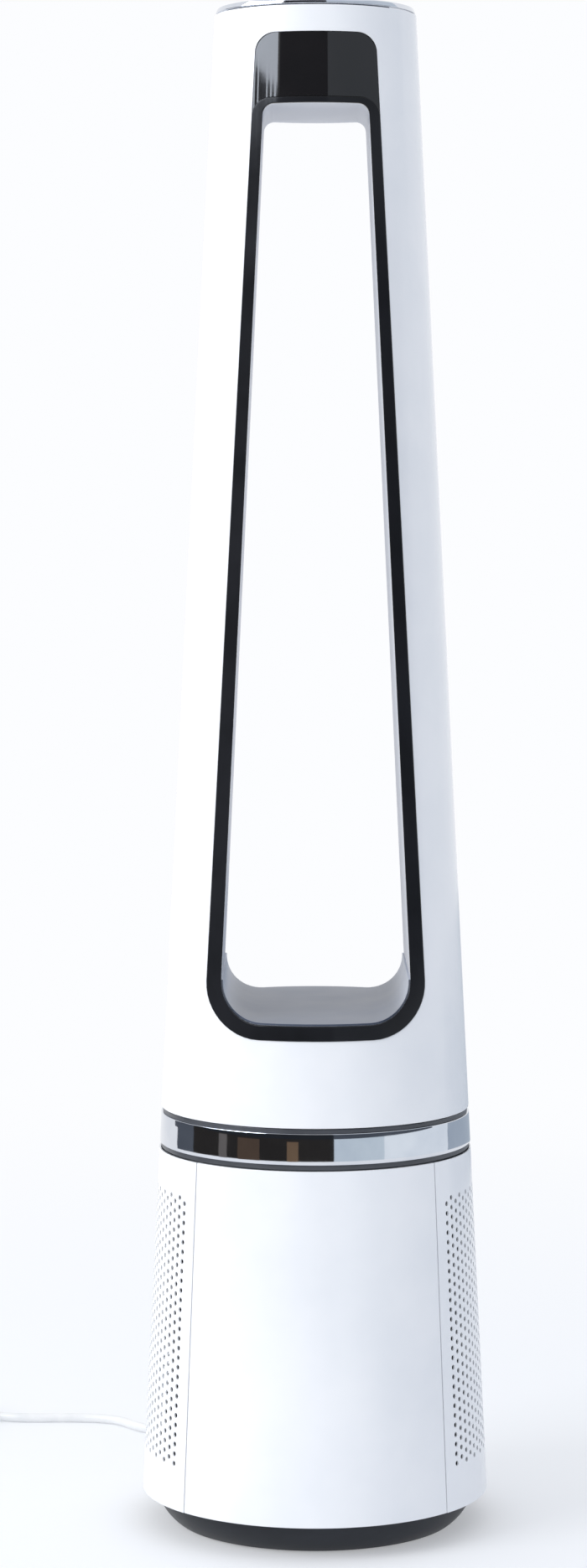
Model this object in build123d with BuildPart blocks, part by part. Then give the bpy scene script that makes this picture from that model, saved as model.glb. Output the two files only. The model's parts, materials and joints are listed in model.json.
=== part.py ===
from build123d import *

import os
from math import acos, cos, pi, radians, sin, tan

os.makedirs("parts", exist_ok=True)

# Tower fan with a through-opening, on a base that holds two filters and the blower.
# Millimetres, +Z up, the front faces -Y, origin on the floor under the middle of the plinth.

# ---- driving dimensions -------------------------------------------------------------

# outside shape: one slim cone from the skirt of the base to the rim of the tower
skirt_radius = 120.5
rim_radius = 69.0
skirt_z = 23.0
rim_z = 1040.0
shell_wall = 2.6
cover_wall = 2.2

# plinth and feet
plinth_inset = 9.0
plinth_flare = 13.5
plinth_wall = 3.0
foot_radius = 8.0
foot_height = 3.0
foot_gap = 1.5
foot_inset = 14.0
foot_count = 6
boss_radius = 6.0
boss_inset = 12.0
screw_shank = 1.75
screw_head = 3.9
screw_clearance = 0.35
head_clearance = 0.3
plinth_counterbore = 4.0
plinth_head_height = 2.5
screw_bite = 2.0
cord_mouth_radius = 5.0
cord_mouth_margin = 2.0
cord_mouth_length = 30.0
ballast_radius = 68.0
ballast_bore = 12.0
ballast_thickness = 8.0

# base
chassis_floor = 4.0
filter_seat = 4.7
panel_half_angle = 48.0
spine_half_angle = 22.0
seam_gap_angle = 0.35
strut_angle = 2.0
strut_clearance = 0.3
chassis_edge_gap = 1.6
seat_inset = 2.0
deck_z = 258.0
deck_thickness = 4.0
deck_edge_gap = 0.9
deck_bore_gap = 0.6
post_radius = 4.5
post_hole_depth = 12.0
deck_counterbore = 2.4
deck_head_height = 2.2
deck_screw_depth = 11.0
post_side_angle = 43.0
post_rear_angle = 16.0
magnet_arc = 5.0
magnet_depth = 5.3
low_magnet_height = 4.0
high_magnet_height = 6.0
catch_depth = 4.2
catch_gap = 0.5

# filters and cage
filter_clearance = 6.7
filter_gap = 5.0
filter_end_gap_angle = 2.6
filter_low_z = 33.0
filter_high_z = 232.0
filter_cap = 4.0
filter_end_angle = 2.5
pleat_count = 36
pleat_wall = 0.9
pleat_margin = 1.0
cage_clearance = 10.0
cage_wall = 3.0
cage_window_count = 12
cage_window_corner = 4.0
cage_bar = 9.0
cage_rim_height = 8.0
ledge_width = 9.0
ledge_thickness = 4.0
ledge_margin = 6.0

# blower
duct_radius = 52.0
duct_wall = 2.2
throat_depth = 6.0
bellmouth_flare = 20.0
bellmouth_z = 116.0
throat_z = 130.0
impeller_low_z = 126.0
impeller_high_z = 160.0
blade_gap = 1.2
blade_count = 9
blade_thickness = 1.8
blade_sweep = 22.0
blade_bow = 0.3
blade_root = 8.0
blade_overrun = 4.0
hub_low_radius = 13.0
hub_bulge_radius = 18.0
hub_bulge_rise = 20.0
vane_count = 11
vane_thickness = 2.0
vane_sweep = -8.0
vane_rise = 6.0
vane_height = 42.0
cup_gap = 3.5
cup_wall = 2.5
cup_floor_gap = 2.0
cup_low_z = 163.0
cup_height = 56.0
motor_radius = 28.0
motor_height = 42.0
motor_wall = 1.8
motor_shaft_gap = 1.5
shaft_radius = 4.0
shaft_overrun = 3.0
bearing_radius = 11.0
bearing_height = 7.0
rotor_radius = 16.0
rotor_clearance = 2.0
winding_count = 9
winding_width = 6.5
winding_depth = 4.0
winding_gap = 3.0
running_gap = 0.05
housing_flange_z = 232.0
flange_thickness = 3.0
flange_clearance = 0.6
isolator_height = 4.0
isolator_radius = 3.6
isolator_bore = 1.6
isolator_inset = 5.0
isolator_count = 6
guard_bar = 1.6
guard_height = 2.4
guard_ring_step = 13.0
guard_first_ring = 14.0
guard_spokes = 6
mains_board_rise = 6.0
mains_board_width = 92.0
mains_board_depth = 64.0
board_thickness = 1.6

# band between base and tower
band_low_z = 263.5
dark_ring_height = 3.4
band_height = 21.0
upper_ring_height = 3.0
dark_ring_inset = 1.2
band_depth = 4.32
turn_gap = 0.6

# turntable and its drive
upstand_wall = 3.8
upstand_clearance = 1.7
upstand_sink = 1.0
turntable_z = 273.0
turntable_plate = 4.0
turntable_wall = 3.0
turntable_flange = 4.0
turntable_flange_rise = 1.2
hub_clearance = 2.8
hub_wall = 2.6
hub_gap = 0.5
seal_gap = 0.3
retainer_overhang = 2.0
retainer_height = 3.0
bearing_inset = 1.5
bearing_width = 5.0
bearing_relief = 1.0
slide_gap = 0.2
gear_module = 1.5
gear_inset = 0.5
gear_rim = 7.4
gear_backlash = 0.3
gear_face = 8.0
gear_dedendum = 1.25
gear_tip = 0.8
gear_screw_inset = 2.7
gear_screw_shank = 1.25
gear_screw_head = 2.2
gear_screw_head_height = 1.6
pinion_clearance = 1.4
pinion_dedendum = 1.2
pinion_drop = 0.5
spare_teeth_angle = 20.0
oscillation_half_angle = 40.0
drive_motor_radius = 11.0
drive_motor_height = 17.0
drive_motor_clearance = 1.0
drive_motor_floor_gap = 1.5
drive_collar_radius = 4.0
drive_collar_clearance = 0.5
drive_collar_gap = 0.3
drive_shaft_radius = 2.5

# tower
opening_floor_z = 360.0
opening_ceiling_drop = 65.0
leg_low_width = 38.23
leg_high_width = 36.99
opening_floor_corner = 27.0
opening_ceiling_corner = 7.5
liner_wall = 2.4
trim_floor = 10.0
trim_side_low = 10.2
trim_side_high = 7.2
trim_ceiling = 4.0
trim_proud = 0.9
trim_outer_corner = 35.0
trim_top_corner = 12.0
sill_wall = 1.2
sill_top_z = 384.0
slit_width = 3.0
slit_y = 36.0
slit_end_margin = 24.0
window_top_drop = 17.5
window_corner = 13.0
window_gap = 0.25
window_proud = 0.3
window_wall = 2.4
window_post_radius = 2.5
window_post_length = 30.0
display_board_y = 50.0
display_board_width = 64.0
display_board_height = 34.0
display_width = 34.0
display_height = 18.0
display_depth = 5.0
top_ring_height = 3.6
top_ring_spigot = 6.0
top_ring_foot_inset = 2.0
top_ring_low_inset = 0.5
top_ring_high_inset = 1.6
spigot_clearance = 0.1
top_gap = 0.9
cap_inset = 4.2
cap_rise = 10.0
cap_edge_drop = 0.4
cap_skirt = 5.0
cap_wall = 2.0
cap_post_circle = 40.0
cap_post_radius = 3.0
cap_post_count = 3
touch_board_radius = 48.0
touch_board_drop = 4.0
divider_wall = 4.5
divider_foot = 5.0
divider_margin = 4.0
divider_height = 42.0
divider_half_depth = 62.0
harness_radius = 2.0
harness_bend = 10.0
harness_rise = 20.0
harness_foot_shift = 3.0
harness_head_shift = 2.0
harness_plug_x = 20.0

# mains cord
cord_radius = 3.5
exit_z = 12.5
relief_neck = 18.0
relief_length = 34.0
relief_radius = 6.0
relief_tip_wall = 0.5
coil_x = -306.0
coil_y = 262.0
coil_mid_radius = 38.0
tie_wall = 0.8
tie_width = 7.0
plug_length = 26.0
plug_pin_length = 19.0
plug_pin_pitch = 18.6
plug_pin_radius = 2.0

# ---- values that follow -------------------------------------------------------------

taper = (skirt_radius - rim_radius) / (rim_z - skirt_z)
plinth_top_radius = skirt_radius - plinth_inset
plinth_foot_radius = plinth_top_radius - plinth_flare
plinth_floor_z = foot_gap
ballast_z = plinth_floor_z + plinth_wall
foot_circle = plinth_foot_radius - foot_inset
screw_circle = plinth_foot_radius - boss_inset
chassis_z = skirt_z + 1.0
cage_low_z = chassis_z + chassis_floor
throat_radius = duct_radius - throat_depth
bellmouth_radius = throat_radius + bellmouth_flare
cage_inner = bellmouth_radius + cage_clearance
cage_outer = cage_inner + cage_wall
isolator_circle = cage_inner - isolator_inset
filter_inner = cage_outer + filter_gap
cup_radius = motor_radius + cup_gap + cup_wall
duct_outer = duct_radius + duct_wall
hub_inner = duct_outer + hub_clearance
hub_outer = hub_inner + hub_wall
cover_high_z = band_low_z - 0.8
cover_start = panel_half_angle + seam_gap_angle
cover_arc = 180.0 - spine_half_angle - seam_gap_angle - cover_start
chrome_low_z = band_low_z + dark_ring_height
chrome_high_z = chrome_low_z + band_height
upstand_top_z = chrome_high_z + upper_ring_height
tower_z = upstand_top_z + turn_gap
gear_z = turntable_z - gear_face
toothed_arc = 2 * (oscillation_half_angle + spare_teeth_angle)
opening_ceiling_z = rim_z - opening_ceiling_drop
window_low_z = opening_ceiling_z + trim_ceiling
window_top_z = rim_z - window_top_drop
cap_radius = rim_radius - cap_inset
cap_height = rim_z + cap_rise
cord_width = 2 * cord_radius


def cone_radius(z, inset=0.0):
    """Outside radius of the whole fan at height z, less an inset."""
    return skirt_radius - taper * (z - skirt_z) - inset


# what stands inside the covers, and the stack of rings inside the band
filter_outer = cone_radius(filter_high_z, cover_wall + filter_clearance)
post_circle = (cage_outer + cone_radius(deck_z, cover_wall)) / 2
band_bore = cone_radius(band_low_z, band_depth)
upstand_inner = band_bore - upstand_wall
turntable_radius = upstand_inner - upstand_clearance
bearing_outer = turntable_radius - bearing_inset
bearing_inner = bearing_outer - bearing_width
gear_outer = bearing_inner - gear_inset

# the ring gear takes the teeth that its rim leaves room for, the pinion those beside the hub
ring_teeth = 2 * int((gear_outer - gear_rim) / gear_module)
pitch_ring = gear_module * ring_teeth / 2
pinion_teeth = int((pitch_ring - gear_module - hub_outer - pinion_clearance) / gear_module)
pitch_pinion = gear_module * pinion_teeth / 2
pinion_y = pitch_ring - pitch_pinion

opening_floor_half = cone_radius(opening_floor_z, leg_low_width)
opening_ceiling_half = cone_radius(opening_ceiling_z, leg_high_width)


def radial_plane(azimuth=0.0):
    """Upright plane through the axis: x points out at the azimuth, y points up."""
    out = Vector(cos(radians(azimuth)), sin(radians(azimuth)), 0)
    return Plane(origin=(0, 0, 0), x_dir=out, z_dir=out.cross(Vector(0, 0, 1)))


def ring_section(points, azimuth=0.0):
    """Section of a turned piece from (radius, height) points."""
    with BuildSketch(radial_plane(azimuth)) as section:
        with BuildLine():
            Polyline(*points, close=True)
        make_face()
    return section.sketch


def box_section(inner, outer, low, high, azimuth=0.0):
    """Section of a plain ring."""
    return ring_section([(inner, low), (outer, low), (outer, high), (inner, high)], azimuth)


def wall_section(low, high, outer_inset, wall, azimuth=0.0):
    """Section of a wall that follows the outside cone."""
    points = [
        (cone_radius(low, outer_inset), low),
        (cone_radius(high, outer_inset), high),
        (cone_radius(high, outer_inset + wall), high),
        (cone_radius(low, outer_inset + wall), low),
    ]
    return ring_section(points, azimuth)


def solid_section(low, high, inset):
    """Section of the solid inside the outside cone, from the axis out."""
    outside = [(cone_radius(low, inset), low), (cone_radius(high, inset), high)]
    return ring_section([(0, low)] + outside + [(0, high)])


def ring_to_wall_section(bore, low, high, inset):
    """Section of a ring with a plain bore whose outside follows the cone."""
    outside = [(cone_radius(low, inset), low), (cone_radius(high, inset), high)]
    return ring_section([(bore, low)] + outside + [(bore, high)])


def opening_outline(low_z, high_z, low_half, high_half, low_corner, high_corner):
    """Tall trapezoid with rounded corners, seen from the front."""
    with BuildSketch(Plane.XZ) as outline:
        with BuildLine():
            Polyline(
                (-low_half, low_z),
                (low_half, low_z),
                (high_half, high_z),
                (-high_half, high_z),
                close=True,
            )
        make_face()
        corners = outline.vertices().group_by(Axis.Y)
        fillet(corners[0], radius=low_corner)
        corners = outline.vertices().group_by(Axis.Y)
        fillet(corners[-1], radius=high_corner)
    return outline.sketch


def involute(radius, base_radius):
    """Involute function of the pressure angle at a radius."""
    angle = acos(min(1.0, base_radius / radius))
    return tan(angle) - angle


def gear_outline(teeth, tip_radius, root_radius, half_thickness, first_angle, shown, flank_steps=3):
    """Points round a run of involute teeth; first_angle is the middle of the first tooth."""
    pitch_radius = gear_module * teeth / 2
    base_radius = pitch_radius * cos(radians(20))
    pitch_angle = half_thickness / pitch_radius + involute(pitch_radius, base_radius)
    foot_radius_used = max(root_radius, base_radius)
    radii = [
        foot_radius_used + (tip_radius - foot_radius_used) * step / flank_steps
        for step in range(flank_steps + 1)
    ]
    flank = [(r, pitch_angle - involute(r, base_radius)) for r in radii]
    if root_radius < base_radius:
        flank.insert(0, (root_radius, pitch_angle))
    points = []
    for tooth in range(shown):
        middle = radians(first_angle) + 2 * pi * tooth / teeth
        points += [(r * cos(middle - a), r * sin(middle - a)) for r, a in flank]
        points += [(r * cos(middle + a), r * sin(middle + a)) for r, a in reversed(flank)]
    return points


# ---- plinth -------------------------------------------------------------------------

screw_angles = [45, 135, 225, 315]
wall_middle_out = 9.0
wall_middle_rise = 10.0
inner_middle_out = 6.0
inner_middle_rise = 10.5
with BuildPart() as base_plinth:
    with BuildSketch(radial_plane()) as plinth_section:
        with BuildLine():
            wall = ThreePointArc(
                (plinth_foot_radius, plinth_floor_z),
                (plinth_foot_radius + wall_middle_out, plinth_floor_z + wall_middle_rise),
                (plinth_top_radius, chassis_z),
            )
            Line(wall @ 1, (plinth_top_radius - plinth_wall, chassis_z))
            inner = ThreePointArc(
                (plinth_top_radius - plinth_wall, chassis_z),
                (plinth_foot_radius + inner_middle_out, plinth_floor_z + inner_middle_rise),
                (plinth_foot_radius - plinth_wall, ballast_z),
            )
            Polyline(
                inner @ 1,
                (0, ballast_z),
                (0, plinth_floor_z),
                (plinth_foot_radius, plinth_floor_z),
            )
        make_face()
    revolve(axis=Axis.Z)
    with BuildSketch(Plane.XY.offset(plinth_floor_z)):
        with PolarLocations(screw_circle, len(screw_angles), start_angle=screw_angles[0]):
            Circle(boss_radius)
    extrude(amount=chassis_z - plinth_floor_z)
    with BuildSketch(Plane.XY.offset(plinth_floor_z)):
        with PolarLocations(foot_circle, foot_count):
            Circle(foot_radius)
    extrude(amount=foot_height - foot_gap, mode=Mode.SUBTRACT)
    with BuildSketch(Plane.XY.offset(plinth_floor_z)):
        with PolarLocations(screw_circle, len(screw_angles), start_angle=screw_angles[0]):
            Circle(screw_shank + screw_clearance)
    extrude(amount=chassis_z - plinth_floor_z, mode=Mode.SUBTRACT)
    with BuildSketch(Plane.XY.offset(plinth_floor_z)):
        with PolarLocations(screw_circle, len(screw_angles), start_angle=screw_angles[0]):
            Circle(screw_head + head_clearance)
    extrude(amount=plinth_counterbore, mode=Mode.SUBTRACT)
    # mouth for the strain relief at the rear
    mouth_start_y = plinth_foot_radius - plinth_wall - cord_mouth_margin
    with BuildSketch(Plane.XZ.offset(-mouth_start_y)):
        with Locations((0, exit_z)):
            Circle(cord_mouth_radius)
    extrude(amount=-cord_mouth_length, mode=Mode.SUBTRACT)
base_plinth.part.label = "base_plinth"
export_step(base_plinth.part, "parts/base_plinth.step")

with BuildPart() as rubber_feet:
    with BuildSketch(Plane.XY):
        with PolarLocations(foot_circle, foot_count):
            Circle(foot_radius)
    extrude(amount=foot_height)
rubber_feet.part.label = "rubber_feet"
export_step(rubber_feet.part, "parts/rubber_feet.step")

with BuildPart() as ballast_plate:
    ballast_high_z = ballast_z + ballast_thickness
    revolve(box_section(ballast_bore, ballast_radius, ballast_z, ballast_high_z), axis=Axis.Z)
ballast_plate.part.label = "ballast_plate"
export_step(ballast_plate.part, "parts/ballast_plate.step")

screw_head_z = plinth_floor_z + plinth_counterbore
with BuildPart() as plinth_screws:
    with BuildSketch(Plane.XY.offset(screw_head_z - plinth_head_height)):
        with PolarLocations(screw_circle, len(screw_angles), start_angle=screw_angles[0]):
            Circle(screw_head)
    extrude(amount=plinth_head_height)
    with BuildSketch(Plane.XY.offset(screw_head_z)):
        with PolarLocations(screw_circle, len(screw_angles), start_angle=screw_angles[0]):
            Circle(screw_shank)
    extrude(amount=cage_low_z + screw_bite - screw_head_z)
plinth_screws.part.label = "plinth_screws"
export_step(plinth_screws.part, "parts/plinth_screws.step")

# ---- chassis, panel, spine ----------------------------------------------------------

seat_z = cage_low_z + filter_seat
post_angles = [
    -90 - post_side_angle,
    -90 + post_side_angle,
    90 - post_rear_angle,
    90 + post_rear_angle,
]
strut_starts = [
    -90 - panel_half_angle,
    -90 + panel_half_angle - strut_angle,
    90 - spine_half_angle,
    90 + spine_half_angle - strut_angle,
]
with BuildPart() as base_chassis:
    chassis_inset = cover_wall + chassis_edge_gap
    revolve(ring_to_wall_section(0, chassis_z, cage_low_z, chassis_inset), axis=Axis.Z)
    seat_section = box_section(filter_inner + seat_inset, filter_outer - seat_inset, cage_low_z, seat_z)
    revolve(seat_section, axis=Axis.Z)
    for start in strut_starts:
        strut_section = [
            (cage_outer + strut_clearance, cage_low_z),
            (cone_radius(cage_low_z, cover_wall), cage_low_z),
            (cone_radius(deck_z, cover_wall), deck_z),
            (cage_outer + strut_clearance, deck_z),
        ]
        revolve(ring_section(strut_section, start), axis=Axis.Z, revolution_arc=strut_angle)
    for angle in post_angles:
        with BuildSketch(Plane.XY.offset(cage_low_z)):
            with PolarLocations(post_circle, 1, start_angle=angle):
                Circle(post_radius)
        extrude(amount=deck_z - cage_low_z)
        with BuildSketch(Plane.XY.offset(deck_z)):
            with PolarLocations(post_circle, 1, start_angle=angle):
                Circle(screw_shank)
        extrude(amount=-post_hole_depth, mode=Mode.SUBTRACT)
    with BuildSketch(Plane.XY.offset(chassis_z)):
        with PolarLocations(screw_circle, len(screw_angles), start_angle=screw_angles[0]):
            Circle(screw_shank)
    extrude(amount=cage_low_z + screw_bite - chassis_z, mode=Mode.SUBTRACT)
base_chassis.part.label = "base_chassis"
export_step(base_chassis.part, "parts/base_chassis.step")

with BuildPart() as front_panel:
    panel_wall = wall_section(skirt_z, cover_high_z, 0, cover_wall, -90 - panel_half_angle)
    revolve(panel_wall, axis=Axis.Z, revolution_arc=2 * panel_half_angle)
front_panel.part.label = "front_panel"
export_step(front_panel.part, "parts/front_panel.step")

with BuildPart() as rear_spine:
    spine_wall = wall_section(skirt_z, cover_high_z, 0, cover_wall, 90 - spine_half_angle)
    revolve(spine_wall, axis=Axis.Z, revolution_arc=2 * spine_half_angle)
rear_spine.part.label = "rear_spine"
export_step(rear_spine.part, "parts/rear_spine.step")

# ---- covers with their magnets ------------------------------------------------------

magnet_side_angles = [-25.0, 25.0]
plate_margin = 0.5
low_reach = cone_radius(cage_low_z, cover_wall + catch_depth)
high_reach = cone_radius(deck_z, cover_wall + catch_depth)
low_magnet = (low_reach - magnet_depth, low_reach, cage_low_z, cage_low_z + low_magnet_height)
high_magnet = (high_reach - magnet_depth, high_reach, deck_z - high_magnet_height, deck_z)
for side, start, facing in (
    ("left", 90 + spine_half_angle + seam_gap_angle, 180),
    ("right", -90 + cover_start, 0),
):
    with BuildPart() as cover:
        cover_section = wall_section(skirt_z, cover_high_z, 0, cover_wall, start)
        revolve(cover_section, axis=Axis.Z, revolution_arc=cover_arc)
    cover.part.label = f"{side}_cover"
    export_step(cover.part, f"parts/{side}_cover.step")

    with BuildPart() as catch_plates:
        for _, outer, low, high in (low_magnet, high_magnet):
            plate_low_z = low + plate_margin
            plate_high_z = high - plate_margin
            plate_section = [
                (outer + catch_gap, plate_low_z),
                (cone_radius(plate_low_z, cover_wall), plate_low_z),
                (cone_radius(plate_high_z, cover_wall), plate_high_z),
                (outer + catch_gap, plate_high_z),
            ]
            for angle in magnet_side_angles:
                section = ring_section(plate_section, facing + angle - magnet_arc / 2)
                revolve(section, axis=Axis.Z, revolution_arc=magnet_arc)
    catch_plates.part.label = f"{side}_catch_plates"
    export_step(catch_plates.part, f"parts/{side}_catch_plates.step")

with BuildPart() as cover_magnets:
    for facing in (0, 180):
        for inner, outer, low, high in (low_magnet, high_magnet):
            for angle in magnet_side_angles:
                section = box_section(inner, outer, low, high, facing + angle - magnet_arc / 2)
                revolve(section, axis=Axis.Z, revolution_arc=magnet_arc)
cover_magnets.part.label = "cover_magnets"
export_step(cover_magnets.part, "parts/cover_magnets.step")

# ---- filters ------------------------------------------------------------------------

filter_arc = cover_arc - 2 * filter_end_gap_angle
for side, start in (
    ("left", 90 + spine_half_angle + seam_gap_angle + filter_end_gap_angle),
    ("right", -90 + cover_start + filter_end_gap_angle),
):
    with BuildPart() as filter_frame:
        for low, high in (
            (filter_low_z, filter_low_z + filter_cap),
            (filter_high_z - filter_cap, filter_high_z),
        ):
            cap_section = box_section(filter_inner, filter_outer, low, high, start)
            revolve(cap_section, axis=Axis.Z, revolution_arc=filter_arc)
        for post_start in (start, start + filter_arc - filter_end_angle):
            post_section = box_section(
                filter_inner,
                filter_outer,
                filter_low_z + filter_cap,
                filter_high_z - filter_cap,
                post_start,
            )
            revolve(post_section, axis=Axis.Z, revolution_arc=filter_end_angle)
    filter_frame.part.label = f"{side}_filter_frame"
    export_step(filter_frame.part, f"parts/{side}_filter_frame.step")

    # pleated media: a zigzag band between the end posts
    media_start = start + filter_end_angle
    media_arc = filter_arc - 2 * filter_end_angle
    outer_row = []
    inner_row = []
    for fold in range(2 * pleat_count + 1):
        angle = radians(media_start + media_arc * fold / (2 * pleat_count))
        if fold % 2:
            reach = filter_outer - pleat_margin
        else:
            reach = filter_inner + pleat_margin + pleat_wall
        outer_row.append((reach * cos(angle), reach * sin(angle)))
        back = reach - pleat_wall
        inner_row.append((back * cos(angle), back * sin(angle)))
    with BuildPart() as filter_media:
        with BuildSketch(Plane.XY.offset(filter_low_z + filter_cap)):
            with BuildLine():
                Polyline(*outer_row, *reversed(inner_row), close=True)
            make_face()
        extrude(amount=filter_high_z - filter_low_z - 2 * filter_cap)
    filter_media.part.label = f"{side}_filter_media"
    export_step(filter_media.part, f"parts/{side}_filter_media.step")

# ---- cage and blower ----------------------------------------------------------------

ledge_high_z = housing_flange_z - isolator_height
windows_high_z = ledge_high_z - ledge_thickness - ledge_margin
window_height = (windows_high_z - cage_low_z) / 2 - cage_rim_height
window_width = 2 * cage_inner * sin(pi / cage_window_count) - cage_bar
cutter_margin = 4.0
with BuildPart() as window_cutters:
    for row in range(2):
        middle_z = cage_low_z + cage_rim_height + window_height / 2 + row * (window_height + cage_rim_height)
        for step in range(cage_window_count):
            outward = radial_plane(360 * (step + 0.5) / cage_window_count).x_dir
            face_plane = Plane(
                origin=outward * (cage_inner - cutter_margin) + Vector(0, 0, middle_z),
                x_dir=Vector(0, 0, 1).cross(outward),
                z_dir=outward,
            )
            with BuildSketch(face_plane):
                RectangleRounded(window_width, window_height, cage_window_corner)
            extrude(amount=cage_wall + 2 * cutter_margin)

with BuildPart() as filter_cage:
    revolve(box_section(cage_inner, cage_outer, cage_low_z, deck_z), axis=Axis.Z)
    ledge_low_z = ledge_high_z - ledge_thickness
    revolve(box_section(cage_inner - ledge_width, cage_inner, ledge_low_z, ledge_high_z), axis=Axis.Z)
    add(window_cutters.part, mode=Mode.SUBTRACT)
    # pocket for the oscillation motor
    with BuildSketch(Plane.XY.offset(deck_z)):
        with Locations((0, pinion_y)):
            Circle(drive_motor_radius + drive_motor_clearance)
    extrude(amount=-drive_motor_height - drive_motor_floor_gap, mode=Mode.SUBTRACT)
filter_cage.part.label = "filter_cage"
export_step(filter_cage.part, "parts/filter_cage.step")

housing_top_z = deck_z + deck_thickness
with BuildPart() as impeller_housing:
    with BuildSketch(radial_plane()):
        with BuildLine():
            Polyline(
                (duct_radius, housing_top_z),
                (duct_radius, impeller_high_z),
                (throat_radius, throat_z),
            )
            mouth = TangentArc(
                (bellmouth_radius, bellmouth_z),
                (throat_radius, throat_z),
                tangent=(-1, 0),
            )
            Line(mouth @ 0, (bellmouth_radius, bellmouth_z + duct_wall))
            back = TangentArc(
                (bellmouth_radius, bellmouth_z + duct_wall),
                (throat_radius + duct_wall, throat_z),
                tangent=(-1, 0),
            )
            Polyline(
                back @ 1,
                (duct_outer, impeller_high_z),
                (duct_outer, housing_top_z),
                (duct_radius, housing_top_z),
            )
        make_face()
    revolve(axis=Axis.Z)
    flange_inner = duct_outer - duct_wall / 4
    flange_outer = cage_inner - flange_clearance
    flange_top_z = housing_flange_z + flange_thickness
    revolve(box_section(flange_inner, flange_outer, housing_flange_z, flange_top_z), axis=Axis.Z)
impeller_housing.part.label = "impeller_housing"
export_step(impeller_housing.part, "parts/impeller_housing.step")

with BuildPart() as motor_isolators:
    with BuildSketch(Plane.XY.offset(ledge_high_z)):
        with PolarLocations(isolator_circle, isolator_count):
            Circle(isolator_radius)
            Circle(isolator_bore, mode=Mode.SUBTRACT)
    extrude(amount=isolator_height)
motor_isolators.part.label = "motor_isolators"
export_step(motor_isolators.part, "parts/motor_isolators.step")

guard_z = bellmouth_z - guard_height
inner_rings = int((bellmouth_radius - 2 * guard_bar - guard_first_ring) / guard_ring_step) + 1
guard_rings = [guard_first_ring + step * guard_ring_step for step in range(inner_rings)]
with BuildPart() as inlet_guard:
    for radius in guard_rings + [bellmouth_radius - guard_bar]:
        revolve(box_section(radius, radius + guard_bar, guard_z, bellmouth_z), axis=Axis.Z)
    with BuildSketch(Plane.XY.offset(guard_z)):
        with PolarLocations((bellmouth_radius + guard_first_ring) / 2, guard_spokes):
            Rectangle(bellmouth_radius - guard_first_ring - guard_bar / 4, guard_bar)
    extrude(amount=bellmouth_z - guard_z)
inlet_guard.part.label = "inlet_guard"
export_step(inlet_guard.part, "parts/inlet_guard.step")


def swept_blade(inner, outer, lean, thickness):
    """Plan of one curved blade, from the inner radius to the outer one."""
    middle = (inner + outer) / 2
    middle_lean = blade_bow * lean
    with BuildSketch() as plan:
        with BuildLine():
            outside = ThreePointArc((inner, 0), (middle, middle_lean), (outer, lean))
            inside = ThreePointArc(
                (outer, lean + thickness),
                (middle, middle_lean + thickness),
                (inner, thickness),
            )
            Line(outside @ 1, inside @ 0)
            Line(inside @ 1, outside @ 0)
        make_face()
    return plan.sketch


with BuildPart() as impeller:
    with BuildSketch(Plane.XY.offset(impeller_low_z)):
        with PolarLocations(0, blade_count):
            add(swept_blade(blade_root, duct_radius + blade_overrun, blade_sweep, blade_thickness))
    extrude(amount=impeller_high_z - impeller_low_z)
    blade_space = [
        (0, impeller_low_z),
        (throat_radius - blade_gap, impeller_low_z),
        (throat_radius - blade_gap, throat_z),
        (duct_radius - blade_gap, impeller_high_z),
        (0, impeller_high_z),
    ]
    revolve(ring_section(blade_space), axis=Axis.Z, mode=Mode.INTERSECT)
    with BuildSketch(radial_plane()):
        with BuildLine():
            flank = ThreePointArc(
                (hub_low_radius, impeller_low_z),
                (hub_bulge_radius, impeller_low_z + hub_bulge_rise),
                (cup_radius, impeller_high_z),
            )
            Polyline(
                flank @ 1,
                (shaft_radius, impeller_high_z),
                (shaft_radius, impeller_low_z),
                (hub_low_radius, impeller_low_z),
            )
        make_face()
    revolve(axis=Axis.Z)
    with BuildSketch(Plane.XY.offset(impeller_low_z)):
        Circle(shaft_radius)
    extrude(amount=impeller_high_z - impeller_low_z, mode=Mode.SUBTRACT)
impeller.part.label = "impeller"
export_step(impeller.part, "parts/impeller.step")

cup_high_z = cup_low_z + cup_height
vane_low_z = cup_low_z + vane_rise
vane_high_z = vane_low_z + vane_height
vane_foot_radius = cup_radius - cup_wall / 2
with BuildPart() as diffuser:
    with BuildSketch(Plane.XY.offset(vane_low_z)):
        with PolarLocations(0, vane_count):
            add(swept_blade(vane_foot_radius - 1.0, duct_radius + blade_overrun, vane_sweep, vane_thickness))
    extrude(amount=vane_high_z - vane_low_z)
    vane_space = box_section(vane_foot_radius, duct_radius, vane_low_z, vane_high_z)
    revolve(vane_space, axis=Axis.Z, mode=Mode.INTERSECT)
    revolve(box_section(cup_radius - cup_wall, cup_radius, cup_low_z, cup_high_z), axis=Axis.Z)
    floor_high_z = cup_low_z + cup_wall
    floor_bore = shaft_radius + cup_floor_gap
    revolve(box_section(floor_bore, vane_foot_radius, cup_low_z, floor_high_z), axis=Axis.Z)
diffuser.part.label = "diffuser"
export_step(diffuser.part, "parts/diffuser.step")

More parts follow.
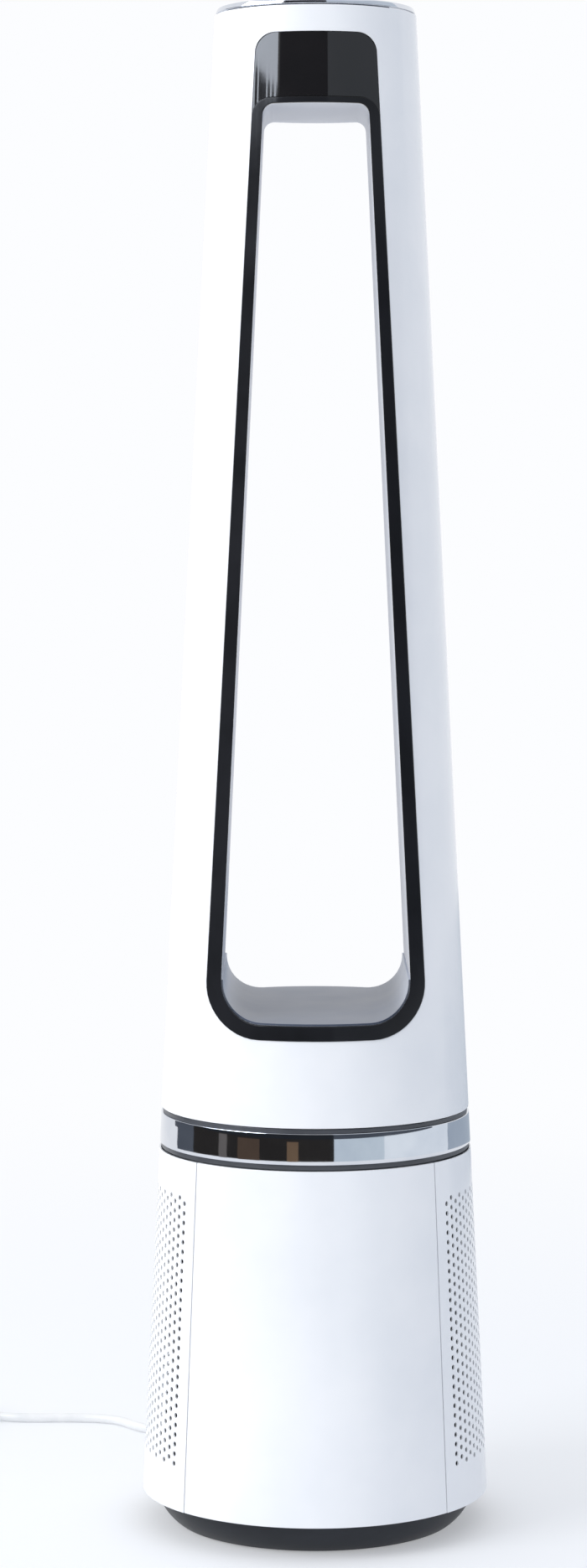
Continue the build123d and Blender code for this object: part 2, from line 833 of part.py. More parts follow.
motor_z = cup_low_z + cup_wall
motor_top_z = motor_z + motor_height
can_floor_z = motor_z + motor_wall + bearing_height
can_ceiling_z = motor_top_z - motor_wall - bearing_height
with BuildPart() as motor_can:
    can_outside = box_section(0, motor_radius, motor_z, motor_top_z)
    revolve(can_outside, axis=Axis.Z)
    can_inner_radius = motor_radius - motor_wall
    can_inside = box_section(0, can_inner_radius, can_floor_z, can_ceiling_z)
    revolve(can_inside, axis=Axis.Z, mode=Mode.SUBTRACT)
    lower_seat = box_section(0, bearing_radius, motor_z, motor_z + bearing_height)
    revolve(lower_seat, axis=Axis.Z, mode=Mode.SUBTRACT)
    upper_seat = box_section(0, bearing_radius, motor_top_z - bearing_height, motor_top_z)
    revolve(upper_seat, axis=Axis.Z, mode=Mode.SUBTRACT)
    shaft_way = box_section(0, shaft_radius + motor_shaft_gap, motor_z, motor_top_z)
    revolve(shaft_way, axis=Axis.Z, mode=Mode.SUBTRACT)
motor_can.part.label = "motor_can"
export_step(motor_can.part, "parts/motor_can.step")

with BuildPart() as motor_bearings:
    for low in (motor_z, motor_top_z - bearing_height):
        bearing = box_section(shaft_radius + running_gap, bearing_radius, low, low + bearing_height)
        revolve(bearing, axis=Axis.Z)
motor_bearings.part.label = "motor_bearings"
export_step(motor_bearings.part, "parts/motor_bearings.step")

windings_low_z = can_floor_z + winding_gap
windings_high_z = can_ceiling_z - winding_gap
winding_inner = can_inner_radius - winding_depth
pole_inner = rotor_radius + rotor_clearance
pole_outer = winding_inner + winding_depth / 2
with BuildPart() as stator_windings:
    stator_ring = box_section(winding_inner, can_inner_radius, windings_low_z, windings_high_z)
    revolve(stator_ring, axis=Axis.Z)
    with BuildSketch(Plane.XY.offset(windings_low_z)):
        with PolarLocations((pole_inner + pole_outer) / 2, winding_count):
            Rectangle(pole_outer - pole_inner, winding_width)
    extrude(amount=windings_high_z - windings_low_z)
stator_windings.part.label = "stator_windings"
export_step(stator_windings.part, "parts/stator_windings.step")

with BuildPart() as rotor_shaft:
    shaft_low_z = impeller_low_z - shaft_overrun
    revolve(box_section(0, shaft_radius, shaft_low_z, motor_top_z + shaft_overrun), axis=Axis.Z)
    revolve(box_section(0, rotor_radius, windings_low_z, windings_high_z), axis=Axis.Z)
rotor_shaft.part.label = "rotor_shaft"
export_step(rotor_shaft.part, "parts/rotor_shaft.step")

board_z = cage_low_z + mains_board_rise
board_top_z = board_z + board_thickness
foot_inset_on_board = 12.0
board_foot_radius = 3.0
tall_parts_height = 22.0
low_parts_height = 9.0
capacitor_radius = 6.0
with BuildPart() as mains_board:
    with BuildSketch(Plane.XY.offset(board_z)):
        Rectangle(mains_board_width, mains_board_depth)
    extrude(amount=board_thickness)
    with BuildSketch(Plane.XY.offset(cage_low_z)):
        feet_apart = mains_board_width - foot_inset_on_board
        rows_apart = mains_board_depth - foot_inset_on_board
        with GridLocations(feet_apart, rows_apart, 2, 2):
            Circle(board_foot_radius)
    extrude(amount=board_z - cage_low_z)
    # transformer and two capacitors
    with BuildSketch(Plane.XY.offset(board_top_z)):
        with Locations((-24.0, 12.0)):
            Rectangle(26.0, 22.0)
        with Locations((6.0, -14.0), (20.0, -14.0)):
            Circle(capacitor_radius)
    extrude(amount=tall_parts_height)
    # heat sink and mains inlet
    with BuildSketch(Plane.XY.offset(board_top_z)):
        with Locations((26.0, 14.0)):
            Rectangle(24.0, 20.0)
        with Locations((-28.0, -18.0)):
            Rectangle(20.0, 12.0)
    extrude(amount=low_parts_height)
mains_board.part.label = "mains_board"
export_step(mains_board.part, "parts/mains_board.step")

# ---- upper deck and band ------------------------------------------------------------

deck_high_z = deck_z + deck_thickness
deck_bore = hub_outer + deck_bore_gap
with BuildPart() as upper_deck:
    deck_inset = cover_wall + deck_edge_gap
    revolve(ring_to_wall_section(deck_bore, deck_z, deck_high_z, deck_inset), axis=Axis.Z)
    upstand_low_z = deck_high_z - upstand_sink
    revolve(box_section(upstand_inner, band_bore, upstand_low_z, upstand_top_z), axis=Axis.Z)
    for angle in post_angles:
        with BuildSketch(Plane.XY.offset(deck_z)):
            with PolarLocations(post_circle, 1, start_angle=angle):
                Circle(screw_shank + screw_clearance)
        extrude(amount=deck_thickness, mode=Mode.SUBTRACT)
        with BuildSketch(Plane.XY.offset(deck_high_z)):
            with PolarLocations(post_circle, 1, start_angle=angle):
                Circle(screw_head + head_clearance)
        extrude(amount=-deck_counterbore, mode=Mode.SUBTRACT)
    with BuildSketch(Plane.XY.offset(deck_z)):
        with Locations((0, pinion_y)):
            Circle(drive_collar_radius + drive_collar_clearance)
    extrude(amount=deck_thickness, mode=Mode.SUBTRACT)
upper_deck.part.label = "upper_deck"
export_step(upper_deck.part, "parts/upper_deck.step")

deck_seat_z = deck_high_z - deck_counterbore
with BuildPart() as deck_screws:
    for angle in post_angles:
        with BuildSketch(Plane.XY.offset(deck_seat_z)):
            with PolarLocations(post_circle, 1, start_angle=angle):
                Circle(screw_head)
        extrude(amount=deck_head_height)
        with BuildSketch(Plane.XY.offset(deck_seat_z)):
            with PolarLocations(post_circle, 1, start_angle=angle):
                Circle(screw_shank)
        extrude(amount=deck_z - deck_screw_depth - deck_seat_z)
deck_screws.part.label = "deck_screws"
export_step(deck_screws.part, "parts/deck_screws.step")

with BuildPart() as band_lower_ring:
    revolve(ring_to_wall_section(band_bore, band_low_z, chrome_low_z, dark_ring_inset), axis=Axis.Z)
band_lower_ring.part.label = "band_lower_ring"
export_step(band_lower_ring.part, "parts/band_lower_ring.step")

with BuildPart() as trim_band:
    revolve(ring_to_wall_section(band_bore, chrome_low_z, chrome_high_z, 0), axis=Axis.Z)
trim_band.part.label = "trim_band"
export_step(trim_band.part, "parts/trim_band.step")

with BuildPart() as band_upper_ring:
    revolve(ring_to_wall_section(band_bore, chrome_high_z, upstand_top_z, dark_ring_inset), axis=Axis.Z)
band_upper_ring.part.label = "band_upper_ring"
export_step(band_upper_ring.part, "parts/band_upper_ring.step")

# ---- turntable and oscillation drive ------------------------------------------------

with BuildPart() as slide_bearing:
    revolve(box_section(bearing_inner, bearing_outer, deck_high_z, turntable_z - slide_gap), axis=Axis.Z)
    for angle in post_angles:
        with BuildSketch(Plane.XY.offset(deck_high_z)):
            with PolarLocations(post_circle, 1, start_angle=angle):
                Circle(screw_head + head_clearance)
        extrude(amount=bearing_relief, mode=Mode.SUBTRACT)
slide_bearing.part.label = "slide_bearing"
export_step(slide_bearing.part, "parts/slide_bearing.step")

skirt_low_z = deck_z - hub_gap
flange_low_z = tower_z + turntable_flange_rise
flange_high_z = flange_low_z + turntable_flange
turntable_bore = turntable_radius - turntable_wall
with BuildPart() as turntable:
    turntable_section = [
        (hub_inner, skirt_low_z),
        (hub_outer, skirt_low_z),
        (hub_outer, turntable_z),
        (turntable_radius, turntable_z),
        (turntable_radius, flange_low_z),
        (cone_radius(flange_low_z, shell_wall), flange_low_z),
        (cone_radius(flange_high_z, shell_wall), flange_high_z),
        (turntable_bore, flange_high_z),
        (turntable_bore, turntable_z + turntable_plate),
        (hub_inner, turntable_z + turntable_plate),
    ]
    revolve(ring_section(turntable_section), axis=Axis.Z)
turntable.part.label = "turntable"
export_step(turntable.part, "parts/turntable.step")

with BuildPart() as retaining_ring:
    retainer_outer = hub_outer + retainer_overhang
    retainer_low_z = skirt_low_z - retainer_height
    revolve(box_section(hub_inner, retainer_outer, retainer_low_z, skirt_low_z), axis=Axis.Z)
retaining_ring.part.label = "retaining_ring"
export_step(retaining_ring.part, "parts/retaining_ring.step")

with BuildPart() as duct_seal:
    revolve(box_section(duct_outer, hub_inner - seal_gap, deck_z, housing_top_z), axis=Axis.Z)
duct_seal.part.label = "duct_seal"
export_step(duct_seal.part, "parts/duct_seal.step")

gear_screw_circle = gear_outer - gear_screw_inset
gear_screw_angles = [-150, -110, -70, -30, 10, 170]
shown_teeth = int(toothed_arc / 360 * ring_teeth) // 2 * 2 + 1
first_space = 90 - 360 / ring_teeth * (shown_teeth // 2)
quarter_pitch = pi * gear_module / 4
ring_bore = pitch_ring - gear_tip * gear_module
with BuildPart() as drive_gear:
    with BuildSketch(Plane.XY.offset(gear_z)):
        Circle(gear_outer)
        Circle(ring_bore, mode=Mode.SUBTRACT)
        # each space of the inner teeth is the shape of an outer tooth
        spaces = gear_outline(
            ring_teeth,
            pitch_ring + gear_dedendum * gear_module,
            ring_bore - 1.0,
            quarter_pitch + gear_backlash / 2,
            first_space,
            shown_teeth,
        )
        with BuildLine():
            Polyline(*spaces, (0, 0), close=True)
        make_face(mode=Mode.SUBTRACT)
        for angle in gear_screw_angles:
            with PolarLocations(gear_screw_circle, 1, start_angle=angle):
                Circle(gear_screw_shank, mode=Mode.SUBTRACT)
    extrude(amount=gear_face)
drive_gear.part.label = "drive_gear"
export_step(drive_gear.part, "parts/drive_gear.step")

with BuildPart() as gear_screws:
    for angle in gear_screw_angles:
        with BuildSketch(Plane.XY.offset(gear_z)):
            with PolarLocations(gear_screw_circle, 1, start_angle=angle):
                Circle(gear_screw_shank)
        extrude(amount=gear_face)
        with BuildSketch(Plane.XY.offset(gear_z)):
            with PolarLocations(gear_screw_circle, 1, start_angle=angle):
                Circle(gear_screw_head)
        extrude(amount=-gear_screw_head_height)
gear_screws.part.label = "gear_screws"
export_step(gear_screws.part, "parts/gear_screws.step")

pinion_low_z = gear_z - pinion_drop
with BuildPart() as drive_pinion:
    with BuildSketch(Plane.XY.offset(pinion_low_z)):
        pinion_points = gear_outline(
            pinion_teeth,
            pitch_pinion + gear_module,
            pitch_pinion - pinion_dedendum * gear_module,
            quarter_pitch,
            90,
            pinion_teeth,
        )
        with BuildLine():
            Polyline(*[(x, y + pinion_y) for x, y in pinion_points], close=True)
        make_face()
        with Locations((0, pinion_y)):
            Circle(drive_shaft_radius + running_gap, mode=Mode.SUBTRACT)
    extrude(amount=gear_face)
drive_pinion.part.label = "drive_pinion"
export_step(drive_pinion.part, "parts/drive_pinion.step")

with BuildPart() as oscillation_motor:
    with BuildSketch(Plane.XY.offset(deck_z)):
        with Locations((0, pinion_y)):
            Circle(drive_motor_radius)
    extrude(amount=-drive_motor_height)
    with BuildSketch(Plane.XY.offset(deck_z)):
        with Locations((0, pinion_y)):
            Circle(drive_collar_radius)
    extrude(amount=pinion_low_z - drive_collar_gap - deck_z)
    with BuildSketch(Plane.XY.offset(deck_z)):
        with Locations((0, pinion_y)):
            Circle(drive_shaft_radius)
    extrude(amount=pinion_low_z + gear_face - deck_z)
oscillation_motor.part.label = "oscillation_motor"
export_step(oscillation_motor.part, "parts/oscillation_motor.step")

# ---- tower --------------------------------------------------------------------------

half_slope = (opening_floor_half - opening_ceiling_half) / (opening_ceiling_z - opening_floor_z)


def opening_half(z):
    """Half the width of the opening at height z."""
    return opening_floor_half - half_slope * (z - opening_floor_z)


trim_low_z = opening_floor_z - trim_floor
trim_high_z = window_low_z
inner_outline = opening_outline(
    opening_floor_z,
    opening_ceiling_z,
    opening_floor_half,
    opening_ceiling_half,
    opening_floor_corner,
    opening_ceiling_corner,
)
trim_outline = opening_outline(
    trim_low_z,
    trim_high_z,
    opening_half(trim_low_z) + trim_side_low,
    opening_half(trim_high_z) + trim_side_high,
    trim_outer_corner,
    trim_top_corner,
)
trim_low_half = opening_half(trim_low_z) + trim_side_low
trim_high_half = opening_half(trim_high_z) + trim_side_high
trim_slope = (trim_low_half - trim_high_half) / (trim_high_z - trim_low_z)


def trim_half(z):
    """Half the outside width of the trim at height z."""
    return trim_high_half - trim_slope * (z - trim_high_z)


window_foot_z = trim_high_z - trim_top_corner
reach = skirt_radius + 10.0
with BuildSketch(Plane.XZ) as window_outline:
    with BuildLine():
        Polyline(
            (-trim_half(window_foot_z), window_foot_z),
            (trim_half(window_foot_z), window_foot_z),
            (trim_half(window_top_z), window_top_z),
            (-trim_half(window_top_z), window_top_z),
            close=True,
        )
    make_face()
    fillet(window_outline.vertices().group_by(Axis.Y)[-1], radius=window_corner)

with BuildPart() as tower_skin:
    revolve(wall_section(tower_z, rim_z, 0, shell_wall), axis=Axis.Z)
    extrude(trim_outline, amount=reach, mode=Mode.SUBTRACT)
    extrude(window_outline.sketch, amount=reach, mode=Mode.SUBTRACT)
    extrude(inner_outline, amount=-reach, mode=Mode.SUBTRACT)

with BuildPart() as tower_front_shell:
    add(tower_skin.part)
    split(bisect_by=Plane.XZ, keep=Keep.TOP)
tower_front_shell.part.label = "tower_front_shell"
export_step(tower_front_shell.part, "parts/tower_front_shell.step")

with BuildPart() as tower_rear_shell:
    add(tower_skin.part)
    split(bisect_by=Plane.XZ, keep=Keep.BOTTOM)
tower_rear_shell.part.label = "tower_rear_shell"
export_step(tower_rear_shell.part, "parts/tower_rear_shell.step")

liner_space = solid_section(tower_z, rim_z, shell_wall)
with BuildSketch(Plane.XZ) as liner_outline:
    add(inner_outline)
    offset(amount=liner_wall)
with BuildPart() as opening_liner:
    extrude(liner_outline.sketch, amount=reach, both=True)
    extrude(inner_outline, amount=reach, both=True, mode=Mode.SUBTRACT)
    revolve(liner_space, axis=Axis.Z, mode=Mode.INTERSECT)
    # a narrow air slit down each leg, near the rear edge
    slit_low_z = opening_floor_z + opening_floor_corner + slit_end_margin
    slit_high_z = opening_ceiling_z - slit_end_margin
    with BuildSketch(Plane.YZ):
        with Locations((slit_y, (slit_low_z + slit_high_z) / 2)):
            SlotOverall(slit_high_z - slit_low_z, slit_width, rotation=90)
    extrude(amount=reach, both=True, mode=Mode.SUBTRACT)
opening_liner.part.label = "opening_liner"
export_step(opening_liner.part, "parts/opening_liner.step")

with BuildSketch(Plane.XZ) as sill_inner:
    add(inner_outline)
    offset(amount=-sill_wall)
with BuildPart() as opening_sill:
    extrude(inner_outline, amount=reach, both=True)
    extrude(sill_inner.sketch, amount=reach, both=True, mode=Mode.SUBTRACT)
    revolve(solid_section(tower_z, sill_top_z, shell_wall), axis=Axis.Z, mode=Mode.INTERSECT)
opening_sill.part.label = "opening_sill"
export_step(opening_sill.part, "parts/opening_sill.step")

with BuildPart() as opening_trim:
    trim_wall = wall_section(tower_z, rim_z, -trim_proud, shell_wall + trim_proud)
    extrude(trim_outline, amount=reach)
    extrude(inner_outline, amount=reach, mode=Mode.SUBTRACT)
    revolve(trim_wall, axis=Axis.Z, mode=Mode.INTERSECT)
opening_trim.part.label = "opening_trim"
export_step(opening_trim.part, "parts/opening_trim.step")

display_z = (window_low_z + window_top_z) / 2
board_front_y = display_board_y + board_thickness
post_apart = 52.0
post_drop = 10.0
post_rise = 12.0
with BuildPart() as window_posts:
    with BuildSketch(Plane.XZ.offset(board_front_y)):
        for height in (display_z - post_drop, display_z + post_rise):
            with Locations((-post_apart / 2, height), (post_apart / 2, height)):
                Circle(window_post_radius)
    extrude(amount=window_post_length)
    revolve(solid_section(tower_z, rim_z, window_wall), axis=Axis.Z, mode=Mode.INTERSECT)

with BuildPart() as display_window:
    with BuildSketch(Plane.XZ) as window_plan:
        add(window_outline.sketch)
        offset(amount=-window_gap)
        add(trim_outline, mode=Mode.SUBTRACT)
    extrude(window_plan.sketch, amount=reach)
    window_wall_section = wall_section(tower_z, rim_z, -window_proud, window_wall + window_proud)
    revolve(window_wall_section, axis=Axis.Z, mode=Mode.INTERSECT)
    add(window_posts.part)
display_window.part.label = "display_window"
export_step(display_window.part, "parts/display_window.step")

with BuildPart() as display_board:
    with BuildSketch(Plane.XZ.offset(display_board_y)):
        with Locations((0, display_z)):
            Rectangle(display_board_width, display_board_height)
    extrude(amount=board_thickness)
    with BuildSketch(Plane.XZ.offset(board_front_y)):
        with Locations((0, display_z)):
            Rectangle(display_width, display_height)
    extrude(amount=display_depth)
display_board.part.label = "display_board"
export_step(display_board.part, "parts/display_board.step")

ring_low_z = rim_z + top_gap
ring_high_z = ring_low_z + top_ring_height
spigot_outer = cone_radius(rim_z, shell_wall + spigot_clearance)
spigot_low_z = rim_z - top_ring_spigot
ring_foot_radius = rim_radius - top_ring_foot_inset
with BuildPart() as top_ring:
    top_ring_section = [
        (cap_radius, spigot_low_z),
        (spigot_outer, spigot_low_z),
        (spigot_outer, rim_z),
        (ring_foot_radius, rim_z),
        (ring_foot_radius, ring_low_z),
        (rim_radius - top_ring_low_inset, ring_low_z),
        (rim_radius - top_ring_high_inset, ring_high_z),
        (cap_radius, ring_high_z),
    ]
    revolve(ring_section(top_ring_section), axis=Axis.Z)
top_ring.part.label = "top_ring"
export_step(top_ring.part, "parts/top_ring.step")

cap_edge_z = ring_high_z - cap_edge_drop
cap_low_z = rim_z - cap_skirt
cap_under_z = cap_edge_z - cap_wall
cap_bore = cap_radius - cap_wall
touch_board_z = rim_z - touch_board_drop
with BuildPart() as touch_cap:
    dome_rise = cap_height - cap_edge_z
    dome_radius = (cap_radius**2 + dome_rise**2) / (2 * dome_rise)
    mid_angle = acos((dome_radius - dome_rise) / dome_radius) / 2
    dome_centre_z = cap_height - dome_radius
    dome_middle = (dome_radius * sin(mid_angle), dome_centre_z + dome_radius * cos(mid_angle))
    with BuildSketch(radial_plane()):
        with BuildLine():
            crown = ThreePointArc((0, cap_height), dome_middle, (cap_radius, cap_edge_z))
            Polyline(
                crown @ 1,
                (cap_radius, cap_low_z),
                (cap_bore, cap_low_z),
                (cap_bore, cap_under_z),
                (0, cap_under_z),
                (0, cap_height),
            )
        make_face()
    revolve(axis=Axis.Z)
    with BuildSketch(Plane.XY.offset(touch_board_z)):
        with PolarLocations(cap_post_circle, cap_post_count):
            Circle(cap_post_radius)
    extrude(amount=cap_edge_z - touch_board_z)
touch_cap.part.label = "touch_cap"
export_step(touch_cap.part, "parts/touch_cap.step")

with BuildPart() as touch_board:
    touch_board_low_z = touch_board_z - board_thickness
    revolve(box_section(0, touch_board_radius, touch_board_low_z, touch_board_z), axis=Axis.Z)
touch_board.part.label = "touch_board"
export_step(touch_board.part, "parts/touch_board.step")

divider_half = opening_floor_half - opening_floor_corner + divider_margin
divider_high_z = opening_floor_z - liner_wall
divider_low_z = divider_high_z - divider_height
with BuildPart() as flow_divider:
    with BuildSketch(Plane.XZ):
        with BuildLine():
            Polyline(
                (-divider_half, divider_high_z),
                (0, divider_low_z),
                (divider_half, divider_high_z),
                (divider_half - divider_foot, divider_high_z),
                (0, divider_low_z + divider_wall),
                (-divider_half + divider_foot, divider_high_z),
                close=True,
            )
        make_face()
    extrude(amount=divider_half_depth, both=True)
flow_divider.part.label = "flow_divider"
export_step(flow_divider.part, "parts/flow_divider.step")


def leg_middle(z):
    """x of the middle of a leg's duct at height z."""
    return (opening_half(z) + liner_wall + cone_radius(z, shell_wall)) / 2


harness_turn_z = flange_high_z + harness_rise
harness_foot_x = -leg_middle(harness_turn_z) - harness_foot_shift
harness_head_x = -leg_middle(opening_ceiling_z) + harness_head_shift
with BuildPart() as wiring_harness:
    with BuildLine() as harness_path:
        FilletPolyline(
            (harness_foot_x, 0, turntable_z + turntable_plate),
            (harness_foot_x, 0, harness_turn_z),
            (harness_head_x, 0, display_z),
            (-harness_plug_x, 0, display_z),
            (-harness_plug_x, -display_board_y, display_z),
            radius=harness_bend,
        )
    with BuildSketch(Plane(origin=harness_path.line @ 0, z_dir=harness_path.line % 0)):
        Circle(harness_radius)
    sweep()
wiring_harness.part.label = "wiring_harness"
export_step(wiring_harness.part, "parts/wiring_harness.step")

# ---- mains cord ---------------------------------------------------------------------

relief_start_y = plinth_foot_radius - plinth_wall - 1.0
relief_neck_y = relief_start_y + relief_neck
relief_end_y = relief_neck_y + relief_length
with BuildPart() as strain_relief:
    with BuildSketch(Plane.XZ.offset(-relief_start_y)):
        with Locations((0, exit_z)):
            Circle(cord_mouth_radius)
    extrude(amount=-relief_neck)
    with BuildSketch(Plane.XZ.offset(-relief_neck_y)):
        with Locations((0, exit_z)):
            Circle(relief_radius)
    with BuildSketch(Plane.XZ.offset(-relief_end_y)):
        with Locations((0, exit_z)):
            Circle(cord_radius + relief_tip_wall)
    loft()
strain_relief.part.label = "strain_relief"
export_step(strain_relief.part, "parts/strain_relief.step")


def corner_radii(points):
    """Largest sensible arc at each corner of a cord's route."""
    route = [Vector(*p) for p in points]
    radii = []
    for before, here, after in zip(route, route[1:], route[2:]):
        run = min((here - before).length, (after - here).length)
        turn = (here - before).get_angle(after - here)
        radii.append(0.45 * run / tan(radians(turn / 2)))
    return radii


floor_z = cord_radius
lay_z = cord_radius + tie_wall
coil_outer = coil_mid_radius + cord_width
coil_inner = coil_mid_radius - cord_width
coil_high_z = tie_wall + 3 * cord_width
cord_route = [
    (0, relief_end_y, exit_z),
    (0, relief_end_y + 22.0, 9.5),
    (-9.0, 191.0, 4.4),
    (-34.0, 212.0, floor_z),
    (-70.0, 219.0, floor_z + 0.1),
    (-108.0, 221.0, floor_z),
    (-134.0, 239.0, floor_z + 0.1),
    (-151.0, 265.0, floor_z),
    (-186.0, 270.0, floor_z + 0.1),
    (-221.0, 268.0, floor_z),
    (-243.0, 272.5, floor_z + 0.1),
    (-262.0, 284.5, floor_z + 0.4),
    (-279.0, 294.5, lay_z),
]
tail_route = [
    (coil_x - 12.0, coil_y - 39.5, lay_z + 2 * cord_width),
    (coil_x + 5.0, coil_y - 45.0, 15.0),
    (coil_x + 20.0, coil_y - 56.0, 9.0),
    (coil_x + 23.0, coil_y - 76.0, 6.4),
    (coil_x + 19.0, coil_y - 94.0, 7.0),
]
for piece_name, route in (("mains_cord", cord_route), ("cord_tail", tail_route)):
    radii = corner_radii(route)
    print(piece_name, "corner radii", [round(r, 1) for r in radii])
    with BuildPart() as cord:
        with BuildLine() as cord_path:
            FilletPolyline(*route, radius=radii)
        with BuildSketch(Plane(origin=cord_path.line @ 0, z_dir=cord_path.line % 0)):
            Circle(cord_radius)
        sweep()
    route_length = sum(edge.length for edge in cord_path.edges())
    print(piece_name, "length", round(route_length, 1))
    print(piece_name, "volume share", round(cord.part.volume / (pi * cord_radius**2 * route_length), 4))
    cord.part.label = piece_name
    export_step(cord.part, f"parts/{piece_name}.step")

with BuildPart() as cord_coil:
    with BuildSketch(Plane.XY.offset(tie_wall)):
        with Locations((coil_x, coil_y)):
            Circle(coil_outer)
            Circle(coil_inner, mode=Mode.SUBTRACT)
    extrude(amount=coil_high_z - tie_wall)
    fillet(cord_coil.edges().filter_by(GeomType.CIRCLE), radius=cord_radius - 0.1)
cord_coil.part.label = "cord_coil"
export_step(cord_coil.part, "parts/cord_coil.step")

tie_inner_width = 2 * cord_width
tie_inner_height = coil_high_z - tie_wall
with BuildPart() as cord_tie:
    with BuildSketch(Plane.YZ.offset(coil_x - tie_width / 2)):
        with Locations((coil_y + coil_mid_radius, (coil_high_z + tie_wall) / 2)):
            RectangleRounded(tie_inner_width + 2 * tie_wall, tie_inner_height + 2 * tie_wall, cord_radius)
            RectangleRounded(tie_inner_width, tie_inner_height, cord_radius - tie_wall, mode=Mode.SUBTRACT)
    extrude(amount=tie_width)
cord_tie.part.label = "cord_tie"
export_step(cord_tie.part, "parts/cord_tie.step")

plug_end = Vector(*tail_route[-1])
plug_way = (plug_end - Vector(*tail_route[-2])).normalized()
plug_way = Vector(plug_way.X, plug_way.Y, 0).normalized()
plug_plane = Plane(origin=plug_end, x_dir=Vector(0, 0, 1).cross(plug_way), z_dir=plug_way)
with BuildPart() as mains_plug:
    with BuildSketch(plug_plane):
        RectangleRounded(13.0, 11.0, 4.5)
    with BuildSketch(plug_plane.offset(plug_length)):
        RectangleRounded(35.0, 13.7, 5.0)
    loft()
    with BuildSketch(plug_plane.offset(plug_length)):
        with GridLocations(plug_pin_pitch, 1, 2, 1):
            Circle(plug_pin_radius)
    extrude(amount=plug_pin_length)
mains_plug.part.label = "mains_plug"
export_step(mains_plug.part, "parts/mains_plug.step")
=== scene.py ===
import json
import math

import bmesh
import bpy
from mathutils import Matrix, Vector


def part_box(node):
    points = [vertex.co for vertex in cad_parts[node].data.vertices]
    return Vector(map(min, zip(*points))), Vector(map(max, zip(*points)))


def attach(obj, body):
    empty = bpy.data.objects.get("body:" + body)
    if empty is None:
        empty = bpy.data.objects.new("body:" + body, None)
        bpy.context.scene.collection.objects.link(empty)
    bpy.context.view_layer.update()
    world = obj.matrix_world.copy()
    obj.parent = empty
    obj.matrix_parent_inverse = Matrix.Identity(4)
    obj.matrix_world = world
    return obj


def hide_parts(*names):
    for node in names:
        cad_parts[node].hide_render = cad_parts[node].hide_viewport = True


# Looks of a tower fan: white moulded casings, black gloss trim, a chrome band, perforated covers.
# Everything is in metres in the CAD model's own frame: +Z up, the front faces -Y.

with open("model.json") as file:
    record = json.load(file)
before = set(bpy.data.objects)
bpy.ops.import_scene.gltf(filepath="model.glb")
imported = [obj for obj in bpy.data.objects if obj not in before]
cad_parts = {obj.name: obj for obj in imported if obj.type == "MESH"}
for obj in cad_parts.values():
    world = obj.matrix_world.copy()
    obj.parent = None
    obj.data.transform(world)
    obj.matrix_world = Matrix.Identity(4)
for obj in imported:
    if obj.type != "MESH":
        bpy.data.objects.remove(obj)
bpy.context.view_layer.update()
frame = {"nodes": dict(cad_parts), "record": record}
cadNodes = frame["nodes"]
mm = 0.001
print("frame loaded:", len(cadNodes), "nodes")


def lowCorner(node):
    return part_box(node)[0]


def highCorner(node):
    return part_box(node)[1]


# the casing is one slim cone, read from the foot of the front panel and the foot of the tower
skirtZ = lowCorner("front_panel").z
skirtRadius = -lowCorner("front_panel").y
towerZ = lowCorner("tower_front_shell").z
rimZ = highCorner("tower_front_shell").z
taper = (skirtRadius + lowCorner("tower_front_shell").y) / (towerZ - skirtZ)
coverTopZ = highCorner("front_panel").z
shellWall = 2.6 * mm
coverWall = 2.2 * mm


def coneRadius(z, proud=0.0):
    return skirtRadius - taper * (z - skirtZ) + proud


def onCone(angle, z, proud=0.0):  # angle in radians from the front, positive towards +X
    radius = coneRadius(z, proud)
    return (radius * math.sin(angle), -radius * math.cos(angle), z)


view = {
    "place": (-0.015, -2.6326, 0.713),
    "tilt": 85.7,  # degrees from straight down, so 4.3 below the horizon
    "lens": 87.5,
}
cameraData = bpy.data.cameras.new("camera")
cameraData.lens = view["lens"]
cameraData.sensor_width = 36.0
camera = bpy.data.objects.new("camera", cameraData)
camera.location = view["place"]
camera.rotation_euler = (math.radians(view["tilt"]), 0.0, 0.0)
bpy.context.scene.collection.objects.link(camera)
bpy.context.scene.camera = camera
bpy.context.scene.view_settings.view_transform = "Standard"


def linearColour(hexText):
    parts = [int(hexText[i:i + 2], 16) / 255 for i in (1, 3, 5)]
    return [c / 12.92 if c <= 0.04045 else ((c + 0.055) / 1.055) ** 2.4 for c in parts] + [1.0]


def addNode(tree, kind, settings=None, sockets=None):
    # sockets go by name, or in their order; a node given to one stands for its first output
    node = tree.nodes.new(kind)
    for name, value in (settings or {}).items():
        setattr(node, name, value)
    named = sockets if isinstance(sockets, dict) else dict(enumerate(sockets or ()))
    for name, value in named.items():
        if isinstance(value, bpy.types.Node):
            value = value.outputs[0]
        if isinstance(value, bpy.types.NodeSocket):
            tree.links.new(value, node.inputs[name])
        else:
            node.inputs[name].default_value = value
    return node


